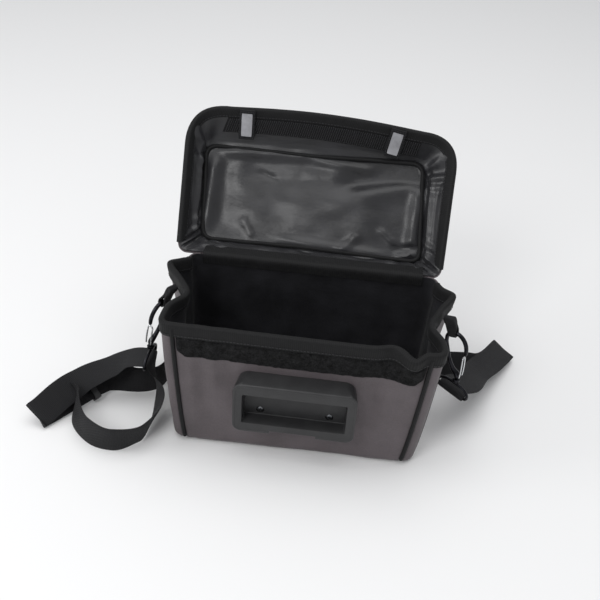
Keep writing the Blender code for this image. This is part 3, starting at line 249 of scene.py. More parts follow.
    # Retro-reflective tape, glass beads under a clear film: an even silver grey, satin, with faint scuffs
    beads, tree, shader = startMaterial("beadedReflectiveTape", Specular_IOR_Level=0.6, Metallic=0.25)
    scuffs = cloudy(tree, 7, 6.0, 0.7)
    colourBetween(tree, shader, scuffs, "#8b8b8f", "#a3a3a7")
    roughBetween(tree, shader, scuffs, 0.28, 0.42)
    bumpFrom(tree, shader, [(cloudy(tree, 0.8, 2.0), 0.04, 0.4)])
    made["beads"] = beads

    # Zinc alloy, die cast and plated black nickel: dark, smooth, with soft casting waves and small rubs
    zinc, tree, shader = startMaterial("blackNickelZinc", Metallic=1.0)
    waves = cloudy(tree, 6, 3.0)
    colourBetween(tree, shader, waves, "#1c1c1f", "#36363a")
    roughBetween(tree, shader, cloudy(tree, 2.5, 5.0), 0.22, 0.42)
    bumpFrom(tree, shader, [(waves, 0.15, 0.3)])
    made["zinc"] = zinc

    # Spring wire, drawn stainless steel: bright, with fine lines along it and a mirror-like edge
    wire, tree, shader = startMaterial("drawnStainlessWire", Metallic=1.0)
    drawn = cloudy(tree, 0.8, 3.0, 0.6, (1.0, 1.0, 0.2))
    colourBetween(tree, shader, drawn, "#b4b6b8", "#dddfe0")
    roughBetween(tree, shader, drawn, 0.14, 0.28)
    made["wire"] = wire

    # Screw steel, cold formed and zinc plated: pale grey, slightly blue, a little duller in its slot
    screw, tree, shader = startMaterial("zincPlatedSteel", Metallic=1.0)
    plated = cloudy(tree, 1.5, 4.0)
    colourBetween(tree, shader, plated, "#55585b", "#85888b")
    roughBetween(tree, shader, plated, 0.22, 0.38)
    made["screw"] = screw

    # Bonded polyester sewing thread: matte black, twisted, about 0.5 mm thick
    thread, tree, shader = startMaterial("bondedPolyesterThread", Specular_IOR_Level=0.5)
    twist = cloudy(tree, 0.7, 2.0)
    colourBetween(tree, shader, twist, "#1a1a1c", "#313134")
    roughBetween(tree, shader, twist, 0.45, 0.62)
    made["thread"] = thread
    return made


finish = makeMaterials()
print("materials made:", len(finish))


# Mesh helpers. A grid is an array of rows, columns and three coordinates, in metres

def addObject(name, verts, faces, uvs, material, body="bag"):
    data = bpy.data.meshes.new(name)
    data.from_pydata(np.asarray(verts, float).tolist(), [], [list(f) for f in faces])
    if uvs is not None:
        layer = data.uv_layers.new(name="cloth")
        layer.data.foreach_set("uv", np.asarray(uvs, np.float32).ravel())
    mesh = bmesh.new()
    mesh.from_mesh(data)
    bmesh.ops.recalc_face_normals(mesh, faces=mesh.faces)
    mesh.to_mesh(data)
    mesh.free()
    data.shade_smooth()
    data.set_sharp_from_angle(angle=math.radians(48))
    data.materials.append(finish[material])
    piece = bpy.data.objects.new(name, data)
    bpy.context.scene.collection.objects.link(piece)
    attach(piece, body)
    return piece


def normalsOf(grid, wrap=False):
    if wrap:
        along = np.roll(grid, -1, axis=1) - np.roll(grid, 1, axis=1)
    else:
        along = np.gradient(grid, axis=1)
    up = np.gradient(grid, axis=0)
    normal = np.cross(along, up)
    length = np.linalg.norm(normal, axis=2, keepdims=True)
    return normal / np.maximum(length, 1e-12)


def mapOf(grid, wrap=False):
    # A flat map of the grid in metres: u along a row, v up the columns
    closed = np.concatenate([grid, grid[:, :1]], axis=1) if wrap else grid
    u = np.linalg.norm(np.diff(closed, axis=1), axis=2).mean(axis=0)
    v = np.linalg.norm(np.diff(grid, axis=0), axis=2).mean(axis=1)
    return np.concatenate([[0], np.cumsum(u)]), np.concatenate([[0], np.cumsum(v)])


def sheetPiece(name, grid, thickness, material, wrap=False, capped=False, normals=None, lift=0.0, body="bag"):
    # A closed sheet: the grid is its outer face, and the inner face lies thickness inside it.
    # A capped one is a cup that closes at row 0
    grid = np.asarray(grid, float)
    rows, count = grid.shape[:2]
    normal = normalsOf(grid, wrap) if normals is None else normals
    outer = grid + normal * lift
    inner = outer - normal * thickness
    verts = np.concatenate([outer.reshape(-1, 3), inner.reshape(-1, 3)])
    u, v = mapOf(grid, wrap)
    faces = []
    uvs = []
    spans = count if wrap else count - 1
    total = rows * count
    for r in range(rows - 1):
        for c in range(spans):
            d = (c + 1) % count
            square = ((r, c, c), (r, d, c + 1), (r + 1, d, c + 1), (r + 1, c, c))
            for layer in (0, total):
                faces.append([layer + a * count + b for a, b, w in square])
                uvs += [(u[w], v[a]) for a, b, w in square]
    for r in ((rows - 1,) if capped else (0, rows - 1)):
        for c in range(spans):
            d = (c + 1) % count
            faces.append([r * count + c, r * count + d, total + r * count + d, total + r * count + c])
            uvs += [(u[c], v[r]), (u[c + 1], v[r]), (u[c + 1], v[r] + thickness), (u[c], v[r] + thickness)]
    if capped:
        for layer in (0, total):
            faces.append([layer + c for c in range(count)])
            uvs += [(outer[0, c, 0], outer[0, c, 1]) for c in range(count)]
    if not wrap:
        for c in (0, count - 1):
            for r in range(rows - 1):
                a, b = r * count + c, (r + 1) * count + c
                faces.append([a, b, total + b, total + a])
                uvs += [(u[c], v[r]), (u[c], v[r + 1]), (u[c] + thickness, v[r + 1]), (u[c] + thickness, v[r])]
    return addObject(name, verts, faces, uvs, material, body)


def smoothPath(points, steps):
    # A centripetal curve through points, with steps for each span or, as a function, for its ends
    points = [Vector(p) for p in points]
    points = [points[0] * 2 - points[1]] + points + [points[-1] * 2 - points[-2]]
    path = []
    for i in range(1, len(points) - 2):
        a, b, c, d = points[i - 1:i + 3]
        before, here, after = (max((q - p).length, 1e-6) ** 0.5 for p, q in ((a, b), (b, c), (c, d)))
        leaving = ((b - a) / before - (c - a) / (before + here) + (c - b) / here) * here
        arriving = ((c - b) / here - (d - b) / (here + after) + (d - c) / after) * here
        count = steps(b, c) if callable(steps) else steps
        for step in range(count):
            t = step / count
            rest = 1 - t
            path.append(
                b * (rest * rest * (1 + 2 * t)) + leaving * (t * rest * rest)
                + c * (t * t * (3 - 2 * t)) - arriving * (t * t * rest)
            )
    path.append(points[-2].copy())
    return path


def sweptPiece(name, path, radii, material, closed=False, sides=16, squash=1.0, body="bag"):
    # A round bar along a path. Open ends are rounded off; squash flattens it across its own frame
    points = np.array([list(p) for p in path], float)
    radii = np.ones(len(points)) * np.asarray(radii, float)
    if not closed:
        ends = [(0.35, 0.93), (0.75, 0.66), (1.0, 0.12)]
        for at, step in ((0, 1), (-1, -1)):
            out = points[at] - points[at + step]
            out /= np.linalg.norm(out)
            tip = points[at]
            r = radii[at]
            extra = [tip - out * r * (1 - reach) for reach, share in ends]
            width = [r * share for reach, share in ends]
            far = np.concatenate([[0], np.cumsum(np.linalg.norm(np.diff(points, axis=0), axis=1))])
            inside = (far if at == 0 else far[-1] - far) > r * 1.05
            points, radii = points[inside], radii[inside]
            if at == 0:
                points = np.concatenate([extra[::-1], points])
                radii = np.concatenate([width[::-1], radii])
            else:
                points = np.concatenate([points, extra])
                radii = np.concatenate([radii, width])
    count = len(points)
    if closed:
        tangent = np.roll(points, -1, axis=0) - np.roll(points, 1, axis=0)
    else:
        tangent = np.gradient(points, axis=0)
    tangent /= np.linalg.norm(tangent, axis=1, keepdims=True)
    side = np.cross(tangent[0], [0.31, 0.17, 0.93])
    side /= np.linalg.norm(side)
    frames = []
    for t in tangent:
        side = side - t * (side @ t)
        side /= np.linalg.norm(side)
        frames.append((side, np.cross(t, side)))
    twist = 0.0
    if closed:
        last = frames[-1][0] - tangent[0] * (frames[-1][0] @ tangent[0])
        twist = math.atan2(last @ frames[0][1], last @ frames[0][0])
    around = np.linspace(0, 2 * math.pi, sides, endpoint=False)
    rings = []
    for k in range(count):
        turned = around - twist * k / count
        a, b = frames[k]
        rings.append(points[k] + radii[k] * (np.outer(np.cos(turned), a) + np.outer(np.sin(turned), b) * squash))
    grid = np.array(rings)
    u = np.arange(sides + 1) / sides * 2 * math.pi * float(np.mean(radii))
    v = np.concatenate([[0], np.cumsum(np.linalg.norm(np.diff(points, axis=0), axis=1))])
    v = np.append(v, v[-1] + np.linalg.norm(points[-1] - points[0]))
    faces = []
    uvs = []
    for r in range(count if closed else count - 1):
        for c in range(sides):
            d = (c + 1) % sides
            q = (r + 1) % count
            faces.append([r * sides + c, r * sides + d, q * sides + d, q * sides + c])
            uvs += [(u[c], v[r]), (u[c + 1], v[r]), (u[c + 1], v[r + 1]), (u[c], v[r + 1])]
    if not closed:
        for r in (0, count - 1):
            faces.append([r * sides + c for c in range(sides)])
            uvs += [(u[c], v[r]) for c in range(sides)]
    return addObject(name, grid.reshape(-1, 3), faces, uvs, material, body)


def turnedPiece(name, profile, foot, axis, material, sides=32, body="bag"):
    # A turned part: profile rows are (radius, height along the axis from foot), closed at both ends
    axis = np.array(Vector(axis).normalized())
    side = np.cross(axis, [0.9, 0.1, 0.2])
    side /= np.linalg.norm(side)
    other = np.cross(axis, side)
    around = np.linspace(0, 2 * math.pi, sides, endpoint=False)
    verts = []
    for radius, height in profile:
        verts.append(np.array(foot) + axis * height + radius * (np.outer(np.cos(around), side) + np.outer(np.sin(around), other)))
    verts = np.concatenate(verts)
    faces = [[c for c in range(sides)], [(len(profile) - 1) * sides + c for c in range(sides)]]
    for r in range(len(profile) - 1):
        for c in range(sides):
            d = (c + 1) % sides
            faces.append([r * sides + c, r * sides + d, (r + 1) * sides + d, (r + 1) * sides + c])
    uvs = [(0, 0)] * sum(len(f) for f in faces)
    return addObject(name, verts, faces, uvs, material, body)


def stitchRow(name, points, normals, body="bag", length=0.0027, gap=0.0008, thick=0.00026):
    # A line of sewing: short arched stitches that dip into the cloth at each end
    points = np.asarray(points, float)
    normals = np.asarray(normals, float)
    along = np.concatenate([[0], np.cumsum(np.linalg.norm(np.diff(points, axis=0), axis=1))])
    arch = [(0.0, -0.5, 0.5), (0.12, 0.35, 1.0), (0.5, 0.75, 1.1), (0.88, 0.35, 1.0), (1.0, -0.5, 0.5)]
    verts = []
    faces = []
    start = gap
    sides = 5
    while start + length < along[-1]:
        first = len(verts)
        for share, rise, wide in arch:
            at = start + length * share
            p = np.array([np.interp(at, along, points[:, k]) for k in range(3)])
            q = np.array([np.interp(at + 0.0004, along, points[:, k]) for k in range(3)])
            n = np.array([np.interp(at, along, normals[:, k]) for k in range(3)])
            n /= np.linalg.norm(n)
            run = q - p
            if np.linalg.norm(run) < 1e-9:
                run = points[-1] - points[-2]
            across = np.cross(n, run)
            across /= np.linalg.norm(across)
            for step in range(sides):
                angle = 2 * math.pi * step / sides
                spot = across * math.cos(angle) + n * math.sin(angle)
                verts.append(p + n * rise * thick * 1.3 + spot * thick * wide)
        for r in range(len(arch) - 1):
            for c in range(sides):
                d = (c + 1) % sides
                a = first + r * sides
                faces.append([a + c, a + d, a + sides + d, a + sides + c])
        faces.append([first + c for c in range(sides)])
        faces.append([first + (len(arch) - 1) * sides + c for c in range(sides)])
        start += length + gap
    return addObject(name, verts, faces, None, "thread", body)


def wander(points, size, seed=0.0):
    # Smooth unevenness between -1 and 1 that repeats exactly, about size metres wide
    p = np.asarray(points, float) / size + seed * np.array([7.3, 3.1, 5.7])
    low = np.floor(p)
    part = p - low
    part = part * part * (3 - 2 * part)
    total = np.zeros(p.shape[:-1])
    for corner in range(8):
        step = np.array([corner & 1, corner >> 1 & 1, corner >> 2 & 1])
        cell = low + step
        value = np.sin(cell @ np.array([127.1, 311.7, 74.7]) + 0.5) * 43758.5453
        value = (value - np.floor(value)) * 2 - 1
        weight = np.prod(np.where(step, part, 1 - part), axis=-1)
        total += value * weight
    return total


def mix(a, b, share):
    return a + (b - a) * share


def smooth(share):
    share = np.clip(share, 0, 1)
    return share * share * (3 - 2 * share)


def creaseField(x, y, creases):
    # Height of straight creases on a flat panel: rows of start, end, half width and height
    total = np.zeros_like(x)
    for x0, y0, x1, y1, width, height in creases:
        run = np.array([x1 - x0, y1 - y0])
        length = np.linalg.norm(run)
        run /= length
        along = (x - x0) * run[0] + (y - y0) * run[1]
        across = (y - y0) * run[0] - (x - x0) * run[1]
        fade = smooth(along / length * 4) * smooth((1 - along / length) * 4)
        total += height * fade * np.exp(-((across / width) ** 2))
    return total


gap = 0.00035

# The bag's body: its sizes, then its corners at the base and the rim as shares of them
bodySize = dict(
    width=0.256, depth=0.130, height=0.155, corner=0.014, fold=0.008, flare=0.65,
    shell=0.002, lining=0.001, piping=0.0046,
)
bodyCorners = (
    (-0.5, -0.5, -0.556, -0.577),
    (0.5, -0.5, 0.562, -0.615),
    (0.5, 0.5, 0.540, 0.538),
    (-0.5, 0.5, -0.532, 0.538),
)
bodyFolds = (
    # wall, place, spread, push outwards, rise, fade downwards
    ("front", 0.855, 0.045, -0.050, 0.000, 4.0),
    ("front", 0.935, 0.045, 0.055, -0.035, 4.0),
    ("right", 0.34, 0.16, -0.080, -0.010, 2.0),
    ("right", 0.76, 0.13, 0.110, 0.030, 1.6),
    ("left", 0.42, 0.16, -0.100, -0.010, 2.0),
    ("left", 0.80, 0.13, 0.120, 0.030, 1.6),
)
wallColumns = dict(front=130, right=72, back=80, left=72)
cornerSteps = 8
softRipples = (
    # wall, place, spread, push outwards in mm, height of the deepest point, reach up and down
    ("front", 0.060, 0.018, 1.0, 0.55, 0.30),
    ("front", 0.105, 0.022, -1.7, 0.62, 0.28),
    ("front", 0.155, 0.020, 1.3, 0.68, 0.24),
    ("front", 0.215, 0.028, -1.3, 0.74, 0.20),
    ("front", 0.46, 0.10, 0.8, 0.78, 0.16),
    ("front", 0.800, 0.040, -2.6, 0.60, 0.26),
    ("front", 0.865, 0.030, 1.6, 0.55, 0.28),
    ("front", 0.930, 0.025, -1.2, 0.50, 0.30),
    ("front", 0.74, 0.070, -1.8, 0.22, 0.18),
    ("front", 0.30, 0.200, 1.4, 0.16, 0.14),
    ("right", 0.20, 0.060, -1.2, 0.60, 0.30),
    ("right", 0.55, 0.070, 1.2, 0.50, 0.34),
    ("left", 0.25, 0.070, -1.1, 0.55, 0.30),
    ("left", 0.60, 0.070, 1.2, 0.50, 0.34),
    ("back", 0.30, 0.120, -1.2, 0.45, 0.30),
    ("back", 0.68, 0.100, 1.2, 0.60, 0.30),
)


def wallRing(height, inset, softness=1.0):
    # The walls' outline at a height, finely divided, and where each wall starts in it
    size = bodySize
    share = min(1.0, max(0.0, height / size["height"]))
    flare = share ** size["flare"]
    sharp = []
    for baseX, baseY, rimX, rimY in bodyCorners:
        x = mix(baseX, rimX, flare) * size["width"]
        y = mix(baseY, rimY, share) * size["depth"]
        sharp.append(np.array([x - math.copysign(inset, x), y - math.copysign(inset, y)]))
    radius = size["corner"] - inset
    walls = {}
    for index, (wall, count) in enumerate(wallColumns.items()):
        start, end = sharp[index], sharp[(index + 1) % 4]
        length = np.linalg.norm(end - start)
        run = (end - start) / length
        out = np.array([run[1], -run[0]])
        u = np.linspace(0, 1, count + 1)
        along = 1 - u if wall in ("back", "left") else u
        settle = smooth(along / 0.05) * smooth((1 - along) / 0.05)
        push = np.zeros(count + 1)
        rise = np.zeros(count + 1)
        for name, place, spread, outwards, upwards, fade in bodyFolds:
            if name == wall:
                reach = np.exp(-(((along - place) / spread) ** 2)) * settle * share ** fade
                push += outwards * size["depth"] * reach
                rise += upwards * size["height"] * reach
        for name, place, spread, outwards, level, reach in softRipples:
            if name == wall:
                bell = np.exp(-(((along - place) / spread) ** 2)) * math.exp(-(((share - level) / reach) ** 2))
                push += outwards / 1000 * bell * settle * softness
        distance = mix(radius, length - radius, u)
        flat = start + np.outer(distance, run) + np.outer(push, out)
        walls[wall] = np.column_stack([flat, height + rise])
    names = list(walls)
    ring = []
    starts = {}
    total = 0
    for index, wall in enumerate(names):
        starts[wall] = total
        ring.append(walls[wall])
        first, last = walls[wall][-1], walls[names[(index + 1) % 4]][0]
        corner = np.array([*sharp[(index + 1) % 4], height])
        t = (np.arange(1, cornerSteps) / cornerSteps)[:, None]
        ring.append(first * (1 - t) ** 2 + corner * 2 * t * (1 - t) + last * t ** 2)
        total += len(walls[wall]) + cornerSteps - 1
    return np.concatenate(ring), starts


wallLevels = np.concatenate([
    bodySize["fold"] * (1 - np.cos(np.linspace(0, math.pi / 2, 7)[:-1])),
    np.linspace(bodySize["fold"], bodySize["height"], 56),
])


def bodySkin():
    rows = []
    for level in wallLevels:
        lift = min(level / bodySize["fold"], 1.0)
        inset = bodySize["fold"] * (1 - math.sin(math.acos(1 - lift)))
        ring, starts = wallRing(level, inset)
        rows.append(ring)
    return np.array(rows), starts


skin, wallStart = bodySkin()
skinNormal = normalsOf(skin, wrap=True)
ringCount = skin.shape[1]
rightAt = wallStart["right"]
backAt = wallStart["back"]
leftAt = wallStart["left"]
frontEnd = wallStart["front"] + wallColumns["front"]
rightEnd = rightAt + wallColumns["right"]
backEnd = backAt + wallColumns["back"]
leftEnd = leftAt + wallColumns["left"]
print("body skin:", skin.shape[0], "rows by", ringCount, "columns")


def onSkin(columns, drops, out=0.0, lift=0.0):
    # Points and normals over the walls for given columns and drops below the rim, as a grid
    columns = np.asarray(columns, float)
    drops = np.asarray(drops, float)
    out = np.ones(len(drops)) * np.asarray(out, float)
    lift = np.ones(len(drops)) * np.asarray(lift, float)
    low = np.floor(columns).astype(int)
    part = (columns - low)[None, :, None]
    level = np.interp(bodySize["height"] - drops, wallLevels, np.arange(len(wallLevels)))
    row = np.minimum(level.astype(int), len(wallLevels) - 2)
    rise = (level - row)[:, None, None]
    grids = []
    for field in (skin, skinNormal):
        a = field[row][:, low % ringCount] * (1 - part) + field[row][:, (low + 1) % ringCount] * part
        b = field[row + 1][:, low % ringCount] * (1 - part) + field[row + 1][:, (low + 1) % ringCount] * part
        grids.append(a * (1 - rise) + b * rise)
    points, normals = grids
    normals = normals / np.linalg.norm(normals, axis=2, keepdims=True)
    points = points + normals * out[:, None, None]
    points[:, :, 2] += lift[:, None]
    return points, normals


def trimmed(first, last, margin):
    # Columns from first to last, with the end ones moved inwards by margin metres at mid height
    mid = skin[30]
    columns = np.arange(first, last + 1, dtype=float)
    for at, step in ((0, 1), (-1, -1)):
        here = mid[int(columns[at]) % ringCount]
        there = mid[int(columns[at] + step) % ringCount]
        columns[at] += step * min(0.95, margin / np.linalg.norm(there - here))
    return columns


def buildWalls():
    seam = bodySize["piping"] / 2 + gap
    panels = (
        ("frontPanel", "front_panel", 0, frontEnd),
        ("rightGusset", "right_gusset", frontEnd, backAt),
        ("backPanel", "back_panel", backAt, backEnd),
        ("leftGusset", "left_gusset", backEnd, ringCount),
    )
    drops = bodySize["height"] - wallLevels
    for name, node, first, last in panels:
        columns = trimmed(first, last, seam)
        # The panel's edge rolls in towards the piping over its last few millimetres
        points, normals = onSkin(columns, drops)
        width = np.minimum(np.arange(len(columns)), np.arange(len(columns))[::-1])
        roll = -0.0007 * np.exp(-((width / 1.3) ** 2))
        uneven = wander(points, 0.021, 1.0) * 0.0003 + wander(points, 0.055, 2.0) * 0.0005
        keep = smooth(width / 6.0)[None, :] * smooth((drops - 0.0) / 0.03)[:, None]
        points = points + normals * (roll[None, :] + uneven * keep)[:, :, None]
        piece = sheetPiece(name, points, bodySize["shell"] * 0.9, "cloth", normals=normals)
        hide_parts(node)

    corners = (
        ("pipingFrontLeft", "piping_front_left", 0),
        ("pipingFrontRight", "piping_front_right", frontEnd),
        ("pipingBackRight", "piping_back_right", backAt),
        ("pipingBackLeft", "piping_back_left", backEnd),
    )
    radius = bodySize["piping"] / 2
    for name, node, column in corners:
        path = skin[5:, column] + skinNormal[5:, column] * (radius - bodySize["shell"])
        path = path[:-1]
        piece = sweptPiece(name, path, radius * (1 + 0.03 * wander(path, 0.012)), "binding", sides=14)
        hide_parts(node)

    # A second, thinner seam runs down each gusset a little way behind its front piping: a raised cord in black binding,
    # whose black is painted shade of the crease there
    for name, column in (("paintedShadeSeamRight", frontEnd + cornerSteps + 0.6), ("paintedShadeSeamLeft", ringCount - cornerSteps - 0.6)):
        points, normals = onSkin([column, column + 0.2], bodySize["height"] - wallLevels[4:-4])
        path = points[:, 0] + normals[:, 0] * 0.0001
        sweptPiece(name, path, 0.0011, "binding", sides=10, squash=0.8)

    floorSize = dict(shares=(0.01, 0.25, 0.5, 0.75, 0.93, 1.0), sag=0.0008)
    ring = wallRing(0.0, bodySize["fold"] + bodySize["shell"] / 3 + gap)[0]
    middle = ring.mean(axis=0)
    grid = np.array([middle + (ring - middle) * share for share in floorSize["shares"]])
    grid[:, :, 2] = bodySize["shell"] - 0.0002
    grid[:, :, 2] += wander(grid, 0.03, 4.0) * 0.00015
    # Sole panel: its own sheet, a little proud of the ground
    up = np.zeros_like(grid)
    up[:, :, 2] = 1
    base = sheetPiece("basePanel", grid, 0.0016, "cloth", wrap=True, normals=up)
    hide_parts("base_panel")


def liningGrid():
    wall = bodySize["shell"] + gap
    points = skin - skinNormal * wall
    drops = bodySize["height"] - wallLevels
    loose = smooth(drops / 0.05) * smooth(wallLevels / 0.03)
    folds = wander(points * np.array([1, 1, 0.35]), 0.016, 5.0) * 0.0010 + wander(points, 0.034, 6.0) * 0.0016
    inward = (np.abs(folds) + 0.0002) * loose[:, None]
    points = points - skinNormal * inward[:, :, None]
    ring = points[0]
    middle = ring.mean(axis=0)
    floor = np.array([middle + (ring - middle) * share for share in (0.02, 0.2, 0.4, 0.6, 0.8, 0.94)])
    floor[:, :, 2] = 0.0032 + np.abs(wander(floor, 0.03, 8.0)) * 0.0012
    return np.concatenate([floor, points])


buildWalls()
lining = sheetPiece("bodyLining", liningGrid(), bodySize["lining"] * 0.8, "lining", wrap=True, capped=True)
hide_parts("body_lining")
print("walls and lining made")


# Rim binding, loop tape and their sewing
rim = dict(binding=0.013, tape=0.0012, loopHeight=0.023, loopCorner=0.011, loopTape=0.0018)


def buildRim():
    first, last = leftAt - ringCount, rightEnd
    columns = np.arange(first, last + 0.01, 0.5)
    wall = bodySize["shell"] + gap + bodySize["lining"]
    # Round the rim: down outside, over the top and down inside
    over = np.linspace(0, math.pi, 9)
    half = wall / 2 + gap
    tight = [0.70, 0.45, 0.2]
    drops = [rim["binding"]] + [rim["binding"] * t for t in tight] + [0.0] * 9 + [rim["binding"] * t for t in tight[::-1]]
    drops += [rim["binding"]]
    outs = [gap] * 4 + list(-wall / 2 + half * np.cos(over)) + [-wall - gap] * 4
    lifts = [0.0] * 4 + list(np.sin(over) * (gap + rim["tape"] / 2)) + [0.0] * 4
    points, normals = onSkin(columns, drops, outs, lifts)
    normal = normalsOf(points)
    puff = np.array([0.2, 0.5, 0.8, 0.7] + [0.3] * 9 + [0.7, 0.8, 0.5, 0.2])
    uneven = wander(points, 0.009, 11.0) * 0.00022 + wander(points, 0.030, 12.0) * 0.00035
    points = points + normal * (puff[:, None] * (0.0003 + uneven))[:, :, None]
    normal = normalsOf(points)
    tape = sheetPiece("rimBinding", points, -rim["tape"], "binding", normals=normal)
    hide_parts("rim_binding")
    for name, drop, out, side in (
        ("rimStitchOutside", rim["binding"] - 0.0022, gap + rim["tape"] + 0.0003, 1),
        ("rimStitchInside", rim["binding"] - 0.0022, -wall - gap - rim["tape"] - 0.0003, -1),
    ):
        line, lineNormal = onSkin(columns, [drop], [out])
        stitchRow(name, line[0], lineNormal[0] * side)

    # Loop tape across the front, cut in at its lower corners, with a napped face
    top = rim["binding"] + gap
    columns = np.arange(0, frontEnd + 0.01, 0.5)
    columns = columns[(columns >= 1.9) & (columns <= frontEnd - 1.9)]
    rows = np.linspace(1, 0, 26)
    drops = top + rows * rim["loopHeight"]
    points, normals = onSkin(columns, drops, 3 * gap)
    # The two lower corners are cut off
    inset = 0.7 * rim["loopCorner"] * smooth((rows - 0.55) / 0.45) ** 1.5
    length = np.linalg.norm(points[0, -1] - points[0, 0])
    for r, cutIn in enumerate(inset):
        squeezed = np.linspace(columns[0] + cutIn / length * len(columns) / 2, columns[-1] - cutIn / length * len(columns) / 2, len(columns))
        strip, stripNormal = onSkin(squeezed, [drops[r]], 3 * gap)
        points[r], normals[r] = strip[0], stripNormal[0]
    thick = rim["loopTape"] * (0.80 + 0.10 * wander(points, 0.0013, 21.0) + 0.10 * wander(points, 0.006, 22.0))
    edge = smooth(np.minimum(rows, 1 - rows) * 9 + 0.35)
    thick = thick * edge[:, None]
    ragged = wander(points[0], 0.004, 23.0) * 0.0007
    points[0, :, 2] += ragged
    outer = points + normals * thick[:, :, None]
    strip = sheetPiece("loopStrip", outer, rim["loopTape"] * 0.55, "loops", normals=normals)
    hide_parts("loop_strip")


buildRim()
print("rim made")


# The lid: a shallow tray, its open side to the front
lidSize = dict(
    width=0.290, length=0.168, depth=0.028, lean=38, bulge=0.14, bow=0.035, binding=0.010,
    piping=0.0036, round=0.08, hookWidth=0.018,
)
lidCorners = (
    (-0.452, 0.110, -0.514, 0.000, 0.05),
    (0.414, 0.095, 0.479, 0.000, 0.05),
    (0.390, 0.765, 0.500, 0.925, 0.22),
    (-0.480, 0.745, -0.535, 0.985, 0.27),
)
lidRows = ((0.0, 1.0), (0.18, 0.80), (0.50, 0.48), (0.78, 0.20), (1.0, 0.0))
lidColumns = dict(hinge=64, right=48, flap=96, left=48)
lidArc = 14


def lidAxes():
    lean = math.radians(lidSize["lean"])
    hinge = np.array([0, 0.538 * bodySize["depth"] + 2 * gap, bodySize["height"] + bodySize["shell"] / 2])
    return hinge, np.array([0, math.sin(lean), math.cos(lean)]), np.array([0, -math.cos(lean), math.sin(lean)])


def lidPlace(flat, depth):
    # Flat rows are x and the way up the lid; depth is towards its back
    hinge, up, face = lidAxes()
    flat = np.asarray(flat, float)
    across = np.zeros(flat.shape[:-1] + (3,))
    across[..., 0] = flat[..., 0]
    return hinge + across + flat[..., 1:2] * up - np.asarray(depth, float)[..., None] * face


def lidRing(out):
    sharp = []
    rounds = []
    for panelX, panelU, rimX, rimU, rounded in lidCorners:
        sharp.append(np.array([mix(panelX, rimX, out) * lidSize["width"], mix(panelU, rimU, out) * lidSize["length"]]))
        rounds.append(mix(lidSize["round"], rounded, out) * lidSize["length"])
    walls = {}
    for index, (wall, count) in enumerate(lidColumns.items()):
        start, end = sharp[index], sharp[(index + 1) % 4]
        length = np.linalg.norm(end - start)
        run = (end - start) / length
        side = np.array([run[1], -run[0]])
        share = np.linspace(0, 1, count + 1)
        distance = mix(rounds[index], length - rounds[(index + 1) % 4], share)
        bow = lidSize["bow"] * lidSize["length"] * np.sin(math.pi * share) if wall == "flap" else 0 * share
        walls[wall] = start + np.outer(distance, run) + np.outer(bow * out, side)
    names = list(walls)
    ring = []
    starts = {}
    total = 0
    for index, wall in enumerate(names):
        starts[wall] = total
        ring.append(walls[wall])
        first, last = walls[wall][-1], walls[names[(index + 1) % 4]][0]
        t = (np.arange(1, lidArc) / lidArc)[:, None]
        ring.append(first * (1 - t) ** 2 + sharp[(index + 1) % 4] * 2 * t * (1 - t) + last * t ** 2)
        total += len(walls[wall]) + lidArc - 1
    return np.concatenate(ring), starts


panelCreases = (
    # start x, start y, end x, end y as shares of the panel, half width and height in metres
    (0.03, 0.93, 0.55, 0.97, 0.022, 0.0022),
    (0.45, 0.95, 0.80, 0.86, 0.020, 0.0016),
    (1.02, 0.93, 0.58, 0.70, 0.045, -0.0034),
    (0.62, 0.60, 1.00, 0.82, 0.040, 0.0020),
    (0.055, 0.95, 0.045, 0.02, 0.020, 0.0030),
    (0.10, 0.95, 0.11, 0.02, 0.030, -0.0012),
    (0.965, 0.85, 0.95, 0.02, 0.018, 0.0026),
    (0.19, 0.30, 0.26, 0.06, 0.010, 0.0008),
    (0.63, 0.00, 0.73, 0.24, 0.014, 0.0013),
    (0.80, 0.32, 0.89, 0.14, 0.012, 0.0011),
    (0.15, 0.82, 0.50, 0.62, 0.060, -0.0016),
    (0.30, 0.45, 0.85, 0.50, 0.080, 0.0020),
    (0.30, 0.10, 0.90, 0.03, 0.020, 0.0016),
    (0.86, 0.10, 1.00, 0.16, 0.014, -0.0016),
    (0.88, 0.02, 1.00, 0.10, 0.012, 0.0016),
    (0.24, 0.78, 0.34, 0.70, 0.012, -0.0009),
)


panelRings = np.append(0.02, np.linspace(0.08, 0.98, 31))  # rings from the middle of the panel to its edge
panelRows = len(panelRings)


